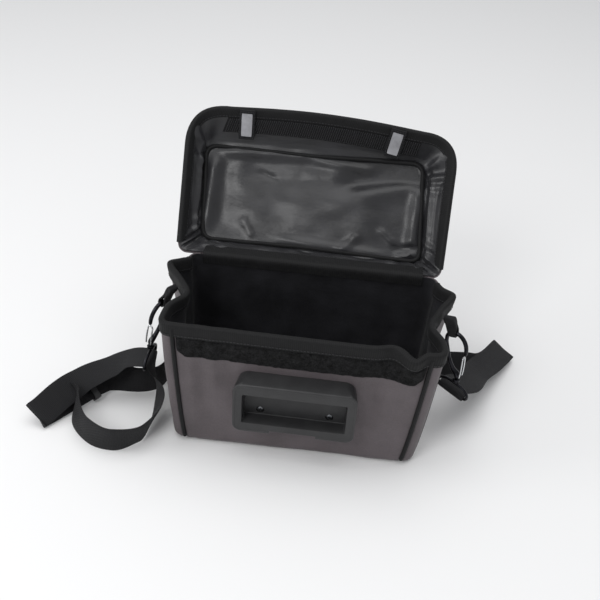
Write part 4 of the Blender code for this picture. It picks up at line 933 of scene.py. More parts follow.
def lidSkin(fine):
    # The tray's inner face from the middle of the panel to its rim. fine adds the lining's creases
    panel, starts = lidRing(0.0)
    middle = panel.mean(axis=0)
    rows = []
    for ring in panelRings:
        bulge = 1 + lidSize["bulge"] * (1 - max(ring, 0.40)) * min(1.0, (1 - ring) / 0.28)
        rows.append((middle + (panel - middle) * ring, np.full(len(panel), lidSize["depth"] * bulge)))
    outs = np.array([row[0] for row in lidRows])
    depths = np.array([row[1] for row in lidRows])
    for out in np.linspace(0, 1, 25):
        ring = lidRing(out)[0]
        rows.append((ring, np.full(len(ring), lidSize["depth"] * np.interp(out, outs, depths))))
    flat = np.array([row[0] for row in rows])
    depth = np.array([row[1] for row in rows])
    if fine:
        low, high = panel.min(axis=0), panel.max(axis=0)
        x = (flat[:, :, 0] - low[0]) / (high[0] - low[0])
        y = (flat[:, :, 1] - low[1]) / (high[1] - low[1])
        inside = np.concatenate([np.ones(panelRows), 1 - smooth(np.linspace(0, 1, 25) * 4)])[:, None]
        creases = [(a * 1.9, b, c * 1.9, d, w * 2.6, h * 1.9) for a, b, c, d, w, h in panelCreases]
        soft = wander(np.stack([flat[:, :, 0], flat[:, :, 1] * 1.6, depth * 0], axis=2), 0.030, 31.0)
        room = np.concatenate([0.0052 - 0.0034 * smooth((panelRings - 0.5) / 0.5), np.full(25, 0.0018)])[:, None]
        lift = creaseField(x * 1.9, y, creases) + soft * 0.0012 + room
        depth = depth - np.logaddexp(0, lift / 0.0007) * 0.0007 * inside
    return lidPlace(flat, depth), starts


trayIn, lidStart = lidSkin(True)
trayBack, lidStart = lidSkin(False)
lidCount = trayBack.shape[1]
trayNormal = normalsOf(trayBack, wrap=True)


def gathers(points, firstRow):
    # Folds where the tray's walls are gathered into the corners, which fade towards the rim
    column = np.arange(lidCount)
    corner = np.zeros(lidCount)
    for wall, count in lidColumns.items():
        centre = lidStart[wall] + count + lidArc / 2
        away = np.minimum(np.abs(column - centre), lidCount - np.abs(column - centre))
        corner += np.exp(-((away / 13) ** 2))
    rows = points.shape[0]
    share = np.clip((np.arange(rows) - firstRow) / (rows - 1 - firstRow), 0, 1)
    strength = np.sin(math.pi * share) ** 0.8
    wave = np.sin(column * 0.92 + 1.3 * np.sin(column * 0.21))
    across = np.stack([points[:, :, 0] * 0.5, points[:, :, 1] * 0.5, share[:, None] * 0.05 + 0 * points[:, :, 2]], axis=2)
    slack = np.abs(wander(across, 0.014, 33.0)) * 0.0030 + wander(points, 0.024, 34.0) * 0.0008
    flap = np.zeros(lidCount)  # the flap's lining lies flat under the hook tape
    flap[lidStart["flap"] - 5:lidStart["flap"] + lidColumns["flap"] + 6] = 1
    flap = np.convolve(flap, np.ones(9) / 9, mode="same")
    slack = slack * (1 - flap[None, :] * smooth((share - 0.06) / 0.12)[:, None])
    sides = np.zeros(lidCount)  # a standing fold along each side wall
    for wall in ("right", "left"):
        sides[lidStart[wall]:lidStart[wall] + lidColumns[wall] + 1] = 1
    sides = np.convolve(np.tile(sides, 3), np.ones(9) / 9, mode="same")[lidCount:2 * lidCount]
    fold = 0.0034 * np.exp(-(((share - 0.36) / 0.09) ** 2))[:, None] * sides[None, :]
    gathered = corner[None, :] * (0.0022 * wave[None, :] + 0.0010) * (1 - flap[None, :])
    return strength[:, None] * (gathered + slack) + fold


def buildLid():
    firstRow = panelRows - 1
    inner = trayIn - trayNormal * gathers(trayIn, firstRow)[:, :, None]
    piece = sheetPiece(
        "lidLining", inner, -bodySize["lining"] * 0.6, "lining", wrap=True, capped=True, normals=trayNormal
    )
    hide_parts("lid_lining")
    out = bodySize["lining"] + gap + bodySize["shell"]
    back = trayBack + trayNormal * out
    share = np.clip((np.arange(back.shape[0]) - firstRow) / 24, 0, 1)
    soft = wander(back, 0.04, 35.0) * 0.0005 + wander(back, 0.018, 36.0) * 0.00025
    back = back + trayNormal * (soft * np.sin(math.pi * np.clip(share + 0.15, 0, 1))[:, None])[:, :, None]
    piece = sheetPiece(
        "lidShell", back, bodySize["shell"] * 0.9, "cloth", wrap=True, capped=True, normals=trayNormal
    )
    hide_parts("lid_shell")
    # A seam cord round the panel's edge outside, and the piping round it inside
    sweptPiece("lidSeam", back[panelRows] + trayNormal[panelRows] * 0.0002, 0.0014, "binding", closed=True, sides=10)
    flat = lidRing(0.06)[0]
    path = lidPlace(flat, np.full(len(flat), lidSize["depth"] * 0.86))
    middle = path.mean(axis=0)
    toMiddle = middle - path
    path = path + toMiddle / np.linalg.norm(toMiddle, axis=1, keepdims=True) * lidSize["piping"]
    path = path + trayNormal[panelRows] * wander(path, 0.02, 37.0)[:, None] * 0.0004
    cord = sweptPiece(
        "lidPiping", path, lidSize["piping"] / 2 * 1.25, "binding", closed=True, sides=12
    )
    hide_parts("lid_piping")

    # Binding over the rim, all but the hinge side
    first, last = lidStart["right"], lidStart["left"] + lidColumns["left"]
    high, low = trayBack[-1, first:last + 1], trayBack[-3, first:last + 1]
    down = low - high
    down /= np.linalg.norm(down, axis=1, keepdims=True)
    normal = trayNormal[-1, first:last + 1]
    wall = bodySize["lining"] + gap + bodySize["shell"]
    over = np.linspace(0, math.pi, 9)
    drops = [1.0, 0.7, 0.4, 0.15] + [0.0] * 9 + [0.15, 0.4, 0.7, 1.0]
    rise = [0.0] * 4 + list(np.sin(over)) + [0.0] * 4
    outs = [wall + gap] * 4 + list(wall / 2 + (wall / 2 + gap) * np.cos(over)) + [-gap] * 4
    grid = []
    for drop, lift, outwards in zip(drops, rise, outs):
        grid.append(high + down * (drop * lidSize["binding"]) - down * (lift * (gap + rim["tape"] / 2)) + normal * outwards)
    grid = np.array(grid)
    facing = normalsOf(grid)
    uneven = 0.0002 + wander(grid, 0.010, 38.0) * 0.0002 + wander(grid, 0.035, 39.0) * 0.0003
    puff = np.array([0.1, 0.6, 0.9, 0.7] + [0.3] * 9 + [0.7, 0.9, 0.6, 0.1])
    grid = grid + facing * (uneven * puff[:, None])[:, :, None]
    tape = sheetPiece("lidBinding", grid, -rim["tape"], "binding", normals=normalsOf(grid))
    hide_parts("lid_binding")
    sew = dict(lidStitchInside=(-gap - rim["tape"] - 0.0004, -1), lidStitchOutside=(wall + gap + rim["tape"] + 0.0004, 1))
    for name, (outwards, side) in sew.items():
        line = high + down * (lidSize["binding"] - 0.0018) + normal * outwards
        stitchRow(name, line, normal * side)

    # Hook tape across the flap, with rows of stubble standing on it
    fromEdge = lidSize["binding"] + 2 * gap
    a, b = lidStart["flap"], lidStart["flap"] + lidColumns["flap"]
    high, low = trayBack[-1, a:b + 1], trayBack[-13, a:b + 1]
    down = low - high
    down /= np.linalg.norm(down, axis=1, keepdims=True)
    normal = trayNormal[-1, a:b + 1] + trayNormal[-13, a:b + 1]
    normal /= np.linalg.norm(normal, axis=1, keepdims=True)
    rows = np.linspace(1, 0, 13)
    strip = np.array([high + down * (fromEdge + lidSize["hookWidth"] * t) - normal * (gap + rim["loopTape"] * 0.55) for t in rows])
    normals = np.repeat(-normal[None], len(rows), axis=0)
    piece = sheetPiece("hookStrip", strip, rim["loopTape"] * 0.5, "binding", normals=normals)
    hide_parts("hook_strip")
    verts = []
    faces = []
    pitch = 0.0024
    length = np.concatenate([[0], np.cumsum(np.linalg.norm(np.diff(strip[6], axis=0), axis=1))])
    for i in range(int(length[-1] / pitch)):
        along = np.interp((i + 0.5) * pitch, length, np.arange(len(length)))
        c = min(int(along), len(length) - 2)
        part = along - c
        for j in range(10):
            t = (j + 0.7 + 0.25 * (i % 2)) / 10.6
            r = t * (len(rows) - 1)
            k = min(int(r), len(rows) - 2)
            base = mix(mix(strip[k, c], strip[k, c + 1], part), mix(strip[k + 1, c], strip[k + 1, c + 1], part), r - k)
            n = normals[0, c]
            side = strip[k, c + 1] - strip[k, c]
            side = side / np.linalg.norm(side)
            up = np.cross(side, n)
            first = len(verts)
            for sx, sy in ((-1, -1), (1, -1), (1, 1), (-1, 1)):
                verts.append(base + side * sx * 0.00062 + up * sy * 0.0007 - n * 0.0001)
            for sx, sy in ((-1, -1), (1, -1), (1, 1), (-1, 1)):
                verts.append(base + side * sx * 0.00042 + up * (sy * 0.0005 + 0.0003) + n * 0.0011)
            faces.append([first, first + 1, first + 2, first + 3])
            faces.append([first + 4, first + 5, first + 6, first + 7])
            for s in range(4):
                q = (s + 1) % 4
                faces.append([first + s, first + q, first + 4 + q, first + 4 + s])
    addObject("hookStubble", verts, faces, None, "hooks")


buildLid()
print("lid made")


# Tabs on the flap, each with a reflective stripe
tabSize = dict(width=0.018, length=0.034, thick=0.0015, stripe=0.012, stripeLength=0.026, stripeThick=0.0012)
tabPlaces = (("Left", "left", 0.085, 0.0), ("Right", "right", 0.87, 0.8))


def buildTabs():
    row = lidRows[2]
    low, starts = lidRing(row[0])
    high = lidRing(1.0)[0]
    for name, node, share, slant in tabPlaces:
        place = mix(lidColumns["flap"], 0, share)
        column = starts["flap"] + int(place)
        part = place - int(place)
        a = mix(low[column], low[column + 1], part)
        b = mix(high[column], high[column + 1], part)
        foot = Vector(lidPlace(a, lidSize["depth"] * row[1]))
        edge = Vector(lidPlace(b, 0.0))
        across = Vector(lidPlace(low[column + 1], 0.0)) - Vector(lidPlace(low[column], 0.0))
        up = edge - foot
        up.x *= slant
        up.normalize()
        across = (across - up * across.dot(up)).normalized()
        face = up.cross(across).normalized()
        if face.y > 0:
            face = -face
        lift = rim["tape"] + rim["loopTape"] + 3 * gap + tabSize["thick"] / 2
        centre = edge - up * (tabSize["length"] / 2 - rim["tape"]) + face * lift
        for piece, size, out, material, slot, target in (
            ("tab", (tabSize["length"], tabSize["width"], tabSize["thick"]), 0.0, "webbing", "webbing", "tab_"),
            ("stripe", (tabSize["stripeLength"], tabSize["stripe"], tabSize["stripeThick"] * 0.6),
             tabSize["thick"] / 2 + gap + tabSize["stripeThick"] * 0.3, "beads", "reflector", "tab_stripe_"),
        ):
            long, wide, thick = size
            us = np.linspace(-0.5, 0.5, 23)
            vs = np.linspace(-0.5, 0.5, 15)
            grid = np.zeros((len(us), len(vs), 3))
            for i, u in enumerate(us):
                for j, v in enumerate(vs):
                    # Its free end is a little rounded and curls up
                    narrow = 1 - 0.06 * (abs(u) * 2) ** 8
                    curl = 0.0009 * max(0.0, -u * 2) ** 3 - 0.0003 * (2 * v) ** 2
                    p = centre + up * (u * long) + across * (v * wide * narrow) + face * (out + thick / 2 + curl)
                    grid[i, j] = p
            made = sheetPiece(piece + name, grid, thick, material, normals=np.tile(np.array(face), (23, 15, 1)))
            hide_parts(target + node)
        border = []
        for u, v in ((-0.5, -0.42), (0.44, -0.42), (0.44, 0.42), (-0.5, 0.42)):
            border.append(centre + up * (u * tabSize["length"]) + across * (v * tabSize["width"]) + face * (tabSize["thick"] / 2 + 0.0001))
        line = []
        for p, q in zip(border, border[1:]):
            line += [p.lerp(q, t / 12) for t in range(12)]
        stitchRow("tabStitch" + name, [list(p) for p in line], [list(face)] * len(line), length=0.0022)


def buildHingeTape():
    width, reach = 0.026, bodySize["width"] * 0.475
    hinge, up, face = lidAxes()
    wall = bodySize["shell"] + gap + bodySize["lining"]
    liningY = hinge[1] - 2 * gap - wall - gap
    drop = width * 0.4
    lean = (0.538 - 0.5) * bodySize["depth"] * drop / bodySize["height"]
    rear = up * (lidSize["length"] * 0.110) - (-face) * 0 - face * lidSize["depth"]
    rear = rear / np.linalg.norm(rear)
    over = np.array([0, -rear[2], rear[1]])
    start = hinge + over * (2 * gap)
    profile = [
        (0, liningY - lean, bodySize["height"] - drop),
        (0, liningY, bodySize["height"]),
        (0, (liningY + start[1]) / 2, start[2] + gap),
        tuple(start + rear * (width * 0.12) + over * gap),
        tuple(start + rear * (width * 0.55) + over * gap),
    ]
    path = np.array([list(p) for p in smoothPath(profile, 5)])
    across = np.linspace(reach, -reach, 90)
    grid = np.repeat(path[:, None], 90, axis=1)
    grid[:, :, 0] = across[None, :]
    facing = normalsOf(grid)
    grid = grid + facing * (0.0001 + wander(grid, 0.013, 41.0) * 0.0006)[:, :, None]
    piece = sheetPiece("hingeTape", grid, rim["tape"], "binding", normals=facing)
    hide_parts("hinge_binding")
    for name, row in (("hingeStitchLow", 2), ("hingeStitchHigh", -3)):
        stitchRow(name, grid[row] + facing[row] * 0.0002, facing[row])


buildTabs()
buildHingeTape()
print("tabs and hinge tape made")


# Handlebar plate, moulded, with its recess and screws
plate = dict(
    width=0.126, height=0.064, thick=0.019, corner=0.009, taper=0.003, edge=0.003, seat=0.0006,
    centre=0.4774 * 0.155, recessWidth=0.106, recessHeight=0.038, recessDepth=0.016, recessRise=-0.001,
    notchWidth=0.048, notchHeight=0.0055, screw=0.007, screwHeight=0.0017, spacing=0.072, screwRise=-0.013,
)


def plateFrame():
    share = plate["centre"] / bodySize["height"]
    (_, baseA, _, rimA), (_, baseB, _, rimB) = bodyCorners[:2]
    depth = bodySize["depth"]
    y = (mix(baseA, rimA, share) + mix(baseB, rimB, share)) / 2
    lean = math.atan2(-((rimA - baseA) + (rimB - baseB)) / 2 * depth, bodySize["height"])
    turn = math.atan2((mix(baseB, rimB, share) - mix(baseA, rimA, share)) * depth, bodySize["width"])
    seat = Matrix.Translation((0, y * depth, plate["centre"]))
    return seat @ Matrix.Rotation(turn, 4, "Z") @ Matrix.Rotation(lean, 4, "X") @ Matrix.Translation((0, -plate["seat"], 0))


def roundedBox(width, height, radius, steps=8):
    outline = []
    for turn, (sx, sz) in enumerate(((1, 1), (-1, 1), (-1, -1), (1, -1))):
        for step in range(steps + 1):
            angle = math.pi / 2 * (turn + step / steps)
            outline.append((
                sx * (width / 2 - radius) + radius * math.cos(angle),
                sz * (height / 2 - radius) + radius * math.sin(angle),
            ))
    return outline


def loftMesh(loops, close=True):
    # loops are (outline, depth along Y, shift up); each joins the next, and the two ends are closed
    mesh = bmesh.new()
    rings = []
    for outline, depth, rise in loops:
        rings.append([mesh.verts.new((x, depth, z + rise)) for x, z in outline])
    count = len(rings[0])
    for low, high in zip(rings, rings[1:]):
        for i in range(count):
            j = (i + 1) % count
            mesh.faces.new((low[i], low[j], high[j], high[i]))
    if close:
        mesh.faces.new(rings[0])
        mesh.faces.new(rings[-1])
    bmesh.ops.recalc_face_normals(mesh, faces=mesh.faces)
    return mesh


def hidden(mesh, name, place):
    data = bpy.data.meshes.new(name)
    mesh.to_mesh(data)
    mesh.free()
    made = bpy.data.objects.new(name, data)
    made.matrix_world = place
    bpy.context.scene.collection.objects.link(made)
    return made


def carve(target, cutters):
    # Cuts with exact Booleans, applies them and removes the cutters
    for cutter in cutters:
        modifier = target.modifiers.new("carve", "BOOLEAN")
        modifier.operation = "DIFFERENCE"
        modifier.solver = "EXACT"
        modifier.object = cutter
    bpy.context.view_layer.update()
    graph = bpy.context.evaluated_depsgraph_get()
    data = bpy.data.meshes.new_from_object(target.evaluated_get(graph))
    target.modifiers.clear()
    target.data = data
    for cutter in cutters:
        bpy.data.objects.remove(cutter, do_unlink=True)


def buildPlate():
    place = plateFrame()
    w, h, t, r = plate["width"], plate["height"], plate["thick"], plate["corner"]
    edge = plate["edge"] / 2
    loops = [(roundedBox(w - 2 * plate["taper"], h + 2 * plate["taper"], r + plate["taper"]), 0.0, 0)]
    for share in (0.35, 0.7, 0.93):
        grow = 1 - share
        loops.append((
            roundedBox(w - 2 * plate["taper"] * grow, h + 2 * plate["taper"] * grow, r + plate["taper"] * grow),
            -t * share, 0,
        ))
    for step in range(1, 6):
        angle = math.pi / 2 * step / 5
        inset = edge * (1 - math.cos(angle))
        loops.append((roundedBox(w - 2 * inset, h - 2 * inset, r - inset), -t + edge * (1 - math.sin(angle)), 0))
    # A shallow step round the face, then the rounded lip of the recess, its walls and its floor
    loops.append((roundedBox(w - 0.0050, h - 0.0050, r - 0.0025), -t, 0))
    loops.append((roundedBox(w - 0.0058, h - 0.0058, r - 0.0029), -t + 0.0004, 0))
    rw, rh, rise = plate["recessWidth"], plate["recessHeight"], plate["recessRise"]
    loops.append((roundedBox(rw + 0.0024, rh + 0.0024, 0.0027), -t + 0.0004, rise))
    loops.append((roundedBox(rw + 0.0010, rh + 0.0010, 0.0020), -t + 0.0006, rise))
    loops.append((roundedBox(rw + 0.0002, rh + 0.0002, 0.0016), -t + 0.0014, rise))
    loops.append((roundedBox(rw - 0.0006, rh - 0.0006, 0.0015), -t + plate["recessDepth"] - 0.0008, rise))
    loops.append((roundedBox(rw - 0.0016, rh - 0.0016, 0.0010), -t + plate["recessDepth"], rise))
    body = hidden(loftMesh(loops), "handlebarPlate", place)
    notch = [(roundedBox(plate["notchWidth"], 2 * plate["notchHeight"], 0.001, 4), depth, 0) for depth in (-0.04, 0.04)]
    low = Matrix.Translation((0, 0, -h / 2 - plate["taper"] / 2))
    cutters = [hidden(loftMesh(notch), "notchCutter", place @ low)]
    floor = plate["recessDepth"] - t
    for side in (-1, 1):
        spot = Matrix.Translation((side * plate["spacing"] / 2, 0, rise + plate["screwRise"]))
        circle = [(math.cos(a) * 0.0042, math.sin(a) * 0.0042) for a in np.linspace(0, 2 * math.pi, 32, endpoint=False)]
        well = [(circle, floor - 0.004, 0), (circle, floor + plate["screwHeight"] + 2 * gap, 0)]
        cutters.append(hidden(loftMesh(well), "wellCutter", place @ spot))
    carve(body, cutters)
    soften = body.modifiers.new("softenEdges", "BEVEL")
    soften.width = 0.00035
    soften.segments = 2
    soften.limit_method = "ANGLE"
    soften.angle_limit = math.radians(42)
    body.data.materials.clear()
    body.data.materials.append(finish["nylon"])
    body.data.shade_smooth()
    body.data.set_sharp_from_angle(angle=math.radians(30))
    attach(body, "bag")
    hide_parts("adapter_plate")

    # Screws: pan heads with a cross cut in them
    for side, name in ((-1, "Left"), (1, "Right")):
        depth = floor + 2 * gap + plate["screwHeight"] - gap
        foot = place @ Vector((side * plate["spacing"] / 2, depth, rise + plate["screwRise"]))
        axis = place.to_3x3() @ Vector((0, -1, 0))
        radius = plate["screw"] / 2
        tall = plate["screwHeight"]
        profile = [(radius, 0.0), (radius, tall * 0.35), (radius * 0.94, tall * 0.62), (radius * 0.78, tall * 0.86), (radius * 0.5, tall)]
        head = turnedPiece("plateScrew" + name, profile, foot, axis, "screw", sides=28)
        crosses = []
        for spin in (0.4, 0.4 + math.pi / 2):
            bar = bmesh.new()
            bmesh.ops.create_cube(bar, size=1.0)
            for vert in bar.verts:
                vert.co = Vector((vert.co.x * 0.0040, vert.co.y * 0.0024, vert.co.z * 0.0009))
            stand = place @ Matrix.Translation((side * plate["spacing"] / 2, depth - tall, rise + plate["screwRise"]))
            crosses.append(hidden(bar, "crossCutter", stand @ Matrix.Rotation(spin, 4, "Y")))
        carve(head, crosses)
        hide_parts("plate_screw_" + name.lower())


buildPlate()
print("plate made")


# Side loops, snap hooks, swivels, rings and gates
hookSize = dict(length=0.056, wire=0.0044, foot=0.503, gateWire=0.0018, gateWidth=0.0066, swivel=0.008, swivelLength=0.0088)
hangers = {
    -1: dict(out=0.0380, y=-0.03, leanIn=0.25, leanBack=0.07, turn=60, topOut=0.0130, topY=-0.02, topZ=0.985),
    1: dict(out=0.0395, y=-0.03, leanIn=0.19, leanBack=0.07, turn=30, topOut=0.0205, topY=-0.02, topZ=0.985),
}
hookBar = (
    # along towards the gate, up from the foot, and thickness, as shares
    (0.010, -0.03, 1.45), (0.000, 0.07, 1.50), (-0.07, 0.17, 1.20), (-0.135, 0.36, 1.0), (-0.165, 0.60, 1.0),
    (-0.175, 0.80, 1.0), (-0.125, 0.935, 1.0), (-0.03, 0.985, 1.0), (0.08, 0.965, 1.0), (0.175, 0.88, 1.05),
    (0.225, 0.75, 1.05), (0.225, 0.62, 1.0), (0.198, 0.52, 0.85),
)
gatePath = (
    (0.075, 0.02, -0.5), (0.110, 0.14, -0.5), (0.147, 0.32, -0.48), (0.168, 0.455, -0.36), (0.171, 0.475, 0.0),
    (0.168, 0.455, 0.36), (0.147, 0.32, 0.48), (0.110, 0.14, 0.5), (0.075, 0.02, 0.5),
)
loopOutline = (
    # slot up and out, outside up and out, and width, as shares
    (-0.170, 0.0, -0.230, 0.0, 0.52), (-0.130, 0.26, -0.175, 0.38, 0.56), (-0.020, 0.34, -0.02, 0.50, 0.60),
    (0.18, 0.24, 0.20, 0.42, 0.82), (0.38, 0.05, 0.55, 0.27, 0.96), (0.42, 0.0, 1.0, 0.20, 1.0),
    (0.40, -0.02, 1.02, -0.20, 1.0), (0.38, -0.05, 0.55, -0.27, 0.96), (0.18, -0.24, 0.20, -0.42, 0.82),
    (-0.020, -0.34, -0.02, -0.50, 0.60), (-0.130, -0.26, -0.175, -0.38, 0.56),
)
ringOutline = (
    (0.10, 0.0), (0.27, 0.06), (0.43, 0.30), (0.50, 0.58), (0.50, 0.86), (0.45, 1.0), (0.15, 1.0),
    (-0.15, 1.0), (-0.45, 1.0), (-0.50, 0.86), (-0.50, 0.58), (-0.43, 0.30), (-0.27, 0.06), (-0.10, 0.0),
)
ringSize = dict(wire=0.0034, height=0.0155, loopWidth=0.0130, loopDepth=0.0094)
ringHang = {1: ((0.84, -0.44, -0.31), (0.10, 0.25, -0.96)), -1: ((0.12, 0.99, 0.05), (-0.12, 0.05, -0.99))}
webWidth, webThick = 0.032, 0.0015


def hangFrame(side):
    row = hangers[side]
    turn = math.radians(row["turn"])
    foot = Vector((side * (bodySize["width"] / 2 + row["out"]), row["y"] * bodySize["depth"], hookSize["foot"] * bodySize["height"]))
    axis = Vector((-side * row["leanIn"], row["leanBack"], 1)).normalized()
    across = Vector((side * math.cos(turn), -math.sin(turn), 0))
    return foot, axis, (across - axis * across.dot(axis)).normalized()


def hookPoint(side, along, high):
    foot, axis, across = hangFrame(side)
    return foot + across * (along * hookSize["length"]) + axis * (high * hookSize["length"])


def ringFrame(side):
    bar, hang = (Vector(v).normalized() for v in ringHang[side])
    hang = (hang - bar * hang.dot(bar)).normalized()
    return hangFrame(side)[0] - Vector((0, 0, hookSize["swivelLength"])), bar, hang


def closedPath(points, steps):
    # A smooth closed curve through points
    count = len(points)
    looped = [points[(i - 2) % count] for i in range(count + 4)]
    path = smoothPath(looped, steps)
    return path[2 * steps:-(2 * steps) - 1]


def buildHanger(side, name, node):
    foot, axis, across = hangFrame(side)
    level = across.cross(axis).normalized()
    path = smoothPath([hookPoint(side, a, h) for a, h, s in hookBar], 6)
    swell = smoothPath([Vector((s, 0, 0)) for a, h, s in hookBar], 6)
    hook = sweptPiece("hook" + name, path, [hookSize["wire"] / 2 * s.x for s in swell], "zinc", sides=20)
    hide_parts("hook_" + node)

    # The swivel: a pin through a collar under the hook, with a waist between them
    s, length = hookSize["swivel"] / 2, hookSize["swivelLength"]
    profile = [
        (s * 0.45, -length * 0.80), (s * 0.86, -length * 0.74), (s * 1.0, -length * 0.66), (s * 1.0, -length * 0.36),
        (s * 0.86, -length * 0.31), (s * 0.55, -length * 0.28),
    ]
    swivel = turnedPiece("swivel" + name, profile, foot, (0, 0, 1), "zinc")
    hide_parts("swivel_" + node)
    rivet = [(s * 0.34, -length * 0.30), (s * 0.34, length * 0.02), (s * 0.30, length * 0.05)]
    turnedPiece("swivelPin" + name, rivet, foot, (0, 0, 1), "zinc", sides=20)

    gate = [hookPoint(side, a, h) + level * (s * hookSize["gateWidth"]) for a, h, s in gatePath]
    wire = sweptPiece(
        "gateWire" + name, smoothPath(gate, 7), hookSize["gateWire"] / 2, "wire",
        sides=12, body="gate_" + node,
    )
    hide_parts("gate_" + node)

    top, bar, hang = ringFrame(side)
    width = webWidth + ringSize["wire"] + 4 * gap
    points = [top + bar * (a * width) + hang * (d * ringSize["height"]) for a, d in ringOutline]
    ring = sweptPiece("ring" + name, closedPath(points, 5), ringSize["wire"] / 2, "zinc", closed=True, sides=16)
    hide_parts("ring_" + node)
    buildSideLoop(side, name, node)


def buildSideLoop(side, name, node):
    # Webbing folded round the top of the hook and sewn flat above it
    row = hangers[side]
    across = hangFrame(side)[2]
    low = hookPoint(side, -0.02, 0.985)
    high = Vector((side * (bodySize["width"] / 2 + row["topOut"]), row["topY"] * bodySize["depth"], row["topZ"] * bodySize["height"]))
    length = (high - low).length
    up = (high - low).normalized()
    wide = (across - up * across.dot(up)).normalized()
    out = up.cross(wide).normalized()
    depth = ringSize["loopDepth"]
    rows = closedPath([Vector((u * length, o * depth, w)) for _, _, u, o, w in loopOutline], 6)
    holes = closedPath([Vector((u * length, o * depth, w)) for u, o, _, _, w in loopOutline], 6)
    shares = np.array([-0.5, -0.47, -0.40, -0.25, 0.0, 0.25, 0.40, 0.47, 0.5])
    dip = np.array([0.45, 0.85, 1.0, 1.0, 1.0, 1.0, 1.0, 0.85, 0.45])
    count = len(rows)
    verts = []
    for outer, slot in zip(rows, holes):
        for share, full in zip(shares, dip):
            for layer in (0, 1):
                spot = outer if layer == 0 else slot
                middle = (outer + slot) / 2
                spot = middle + (spot - middle) * full
                verts.append(low + wide * (share * outer.z * ringSize["loopWidth"]) + up * spot.x + out * spot.y)
    columns = len(shares)
    faces = []
    uvs = []
    run = [0.0]
    for i in range(count):
        run.append(run[-1] + (rows[(i + 1) % count] - rows[i]).length)
    for i in range(count):
        j = (i + 1) % count
        for c in range(columns - 1):
            for layer in (0, 1):
                faces.append([(i * columns + c) * 2 + layer, (j * columns + c) * 2 + layer, (j * columns + c + 1) * 2 + layer, (i * columns + c + 1) * 2 + layer])
                a, b = shares[c] * ringSize["loopWidth"], shares[c + 1] * ringSize["loopWidth"]
                uvs += [(a, run[i]), (a, run[i + 1]), (b, run[i + 1]), (b, run[i])]
        for c in (0, columns - 1):
            faces.append([(i * columns + c) * 2, (j * columns + c) * 2, (j * columns + c) * 2 + 1, (i * columns + c) * 2 + 1])
            uvs += [(0, run[i]), (0, run[i + 1]), (0.0005, run[i + 1]), (0.0005, run[i])]
    loop = addObject("sideLoop" + name, [list(v) for v in verts], faces, uvs, "webbing")
    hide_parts("side_loop_" + node)


for hangSide, hangName, hangNode in ((-1, "Left", "left"), (1, "Right", "right")):
    buildHanger(hangSide, hangName, hangNode)
print("hooks, rings and loops made")


# Shoulder strap, one length of webbing from the right ring round behind the bag to the left ring
strapReach = 0.150
strapRows = (
    # side, out beyond the base, back, height and the way its width lies
    (1, 0.385, 0.215, 1.50, (0.84, -0.44, -0.31)),
    (1, 0.500, 0.570, 1.03, (0.78, -0.50, -0.40)),
    (1, 0.640, 0.870, 0.69, (0.75, -0.47, -0.46)),
    (1, 0.740, 1.110, 0.48, (0.76, -0.46, -0.45)),
    (1, 0.765, 1.175, 0.39, (0.76, -0.46, -0.45)),
    (1, 0.725, 1.115, 0.29, (0.76, -0.46, -0.45)),
    (1, 0.575, 0.890, 0.36, (0.72, -0.46, -0.50)),
    (1, 0.360, 0.800, 0.49, (0.40, -0.30, -0.80)),
    (1, 0.095, 0.785, 0.52, (0.05, -0.05, -1.0)),
    (0.67, 0.0, 0.770, 0.52, (0.0, 0.0, -1.0)),
    (0.16, 0.0, 0.800, 0.52, (0.0, 0.0, -1.0)),
    (-0.36, 0.0, 0.775, 0.52, (0.0, 0.0, -1.0)),
    (-0.84, 0.0, 0.800, 0.52, (0.0, 0.0, -1.0)),
    (-1, 0.080, 0.710, 0.52, (0.0, 0.0, -1.0)),
    (-1, 0.165, 0.510, 0.52, (0.0, 0.0, -1.0)),
    (-1, 0.180, 0.275, 0.52, (0.0, 0.0, -1.0)),
    (-1, 0.235, 0.115, 0.52, (0.0, 0.0, -1.0)),
    (-1, 0.375, 0.055, 0.51, (0.0, -0.10, -1.0)),
    (-1, 0.520, 0.075, 0.50, (0.10, -0.45, -0.85)),
    (-1, 0.625, 0.060, 0.45, (0.35, -0.65, -0.68)),
    (-1, 0.720, -0.075, 0.45, (0.50, -0.60, -0.62)),
    (-1, 0.825, -0.245, 0.42, (0.56, -0.54, -0.62)),
    (-1, 0.945, -0.445, 0.41, (0.66, -0.32, -0.68)),
    (-1, 0.995, -0.530, 0.42, (0.67, -0.26, -0.70)),
    (-1, 0.955, -0.490, 0.53, (0.67, -0.26, -0.70)),
    (-1, 0.865, -0.330, 0.75, (0.62, -0.45, -0.62)),
    (-1, 0.735, -0.110, 0.88, (0.60, -0.72, -0.30)),
    (-1, 0.560, 0.000, 1.16, (0.40, -0.88, -0.15)),
    (-1, 0.415, 0.025, 1.56, (0.12, -0.99, -0.05)),
)
strapLoop = (
    (-1, 0.225, -0.045, 1.12, (0.20, -0.93, 0.30)),
    (-1, 0.165, -0.190, 0.70, (0.45, -0.60, 0.66)),
    (-1, 0.155, -0.370, 0.55, (0.40, -0.40, 0.82)),
    (-1, 0.215, -0.630, 0.52, (0.10, -0.35, 0.93)),
    (-1, 0.395, -0.745, 0.52, (0.0, -0.10, 1.0)),
    (-1, 0.580, -0.670, 0.52, (0.10, 0.05, 1.0)),
    (-1, 0.715, -0.475, 0.52, (0.30, 0.05, 0.95)),
    (-1, 0.760, -0.290, 0.52, (0.15, 0.30, 0.90)),
)
tailTurn = (
    (1.0, 0.0, -1.25), (0.5, 0.0, -1.2), (0.0, 0.0, -1.05), (0.0, -0.8, -0.6), (0.0, -1.0, 0.0),
    (0.0, -0.8, 0.6), (0.0, 0.0, 1.0), (0.35, 0.0, 1.1),
)
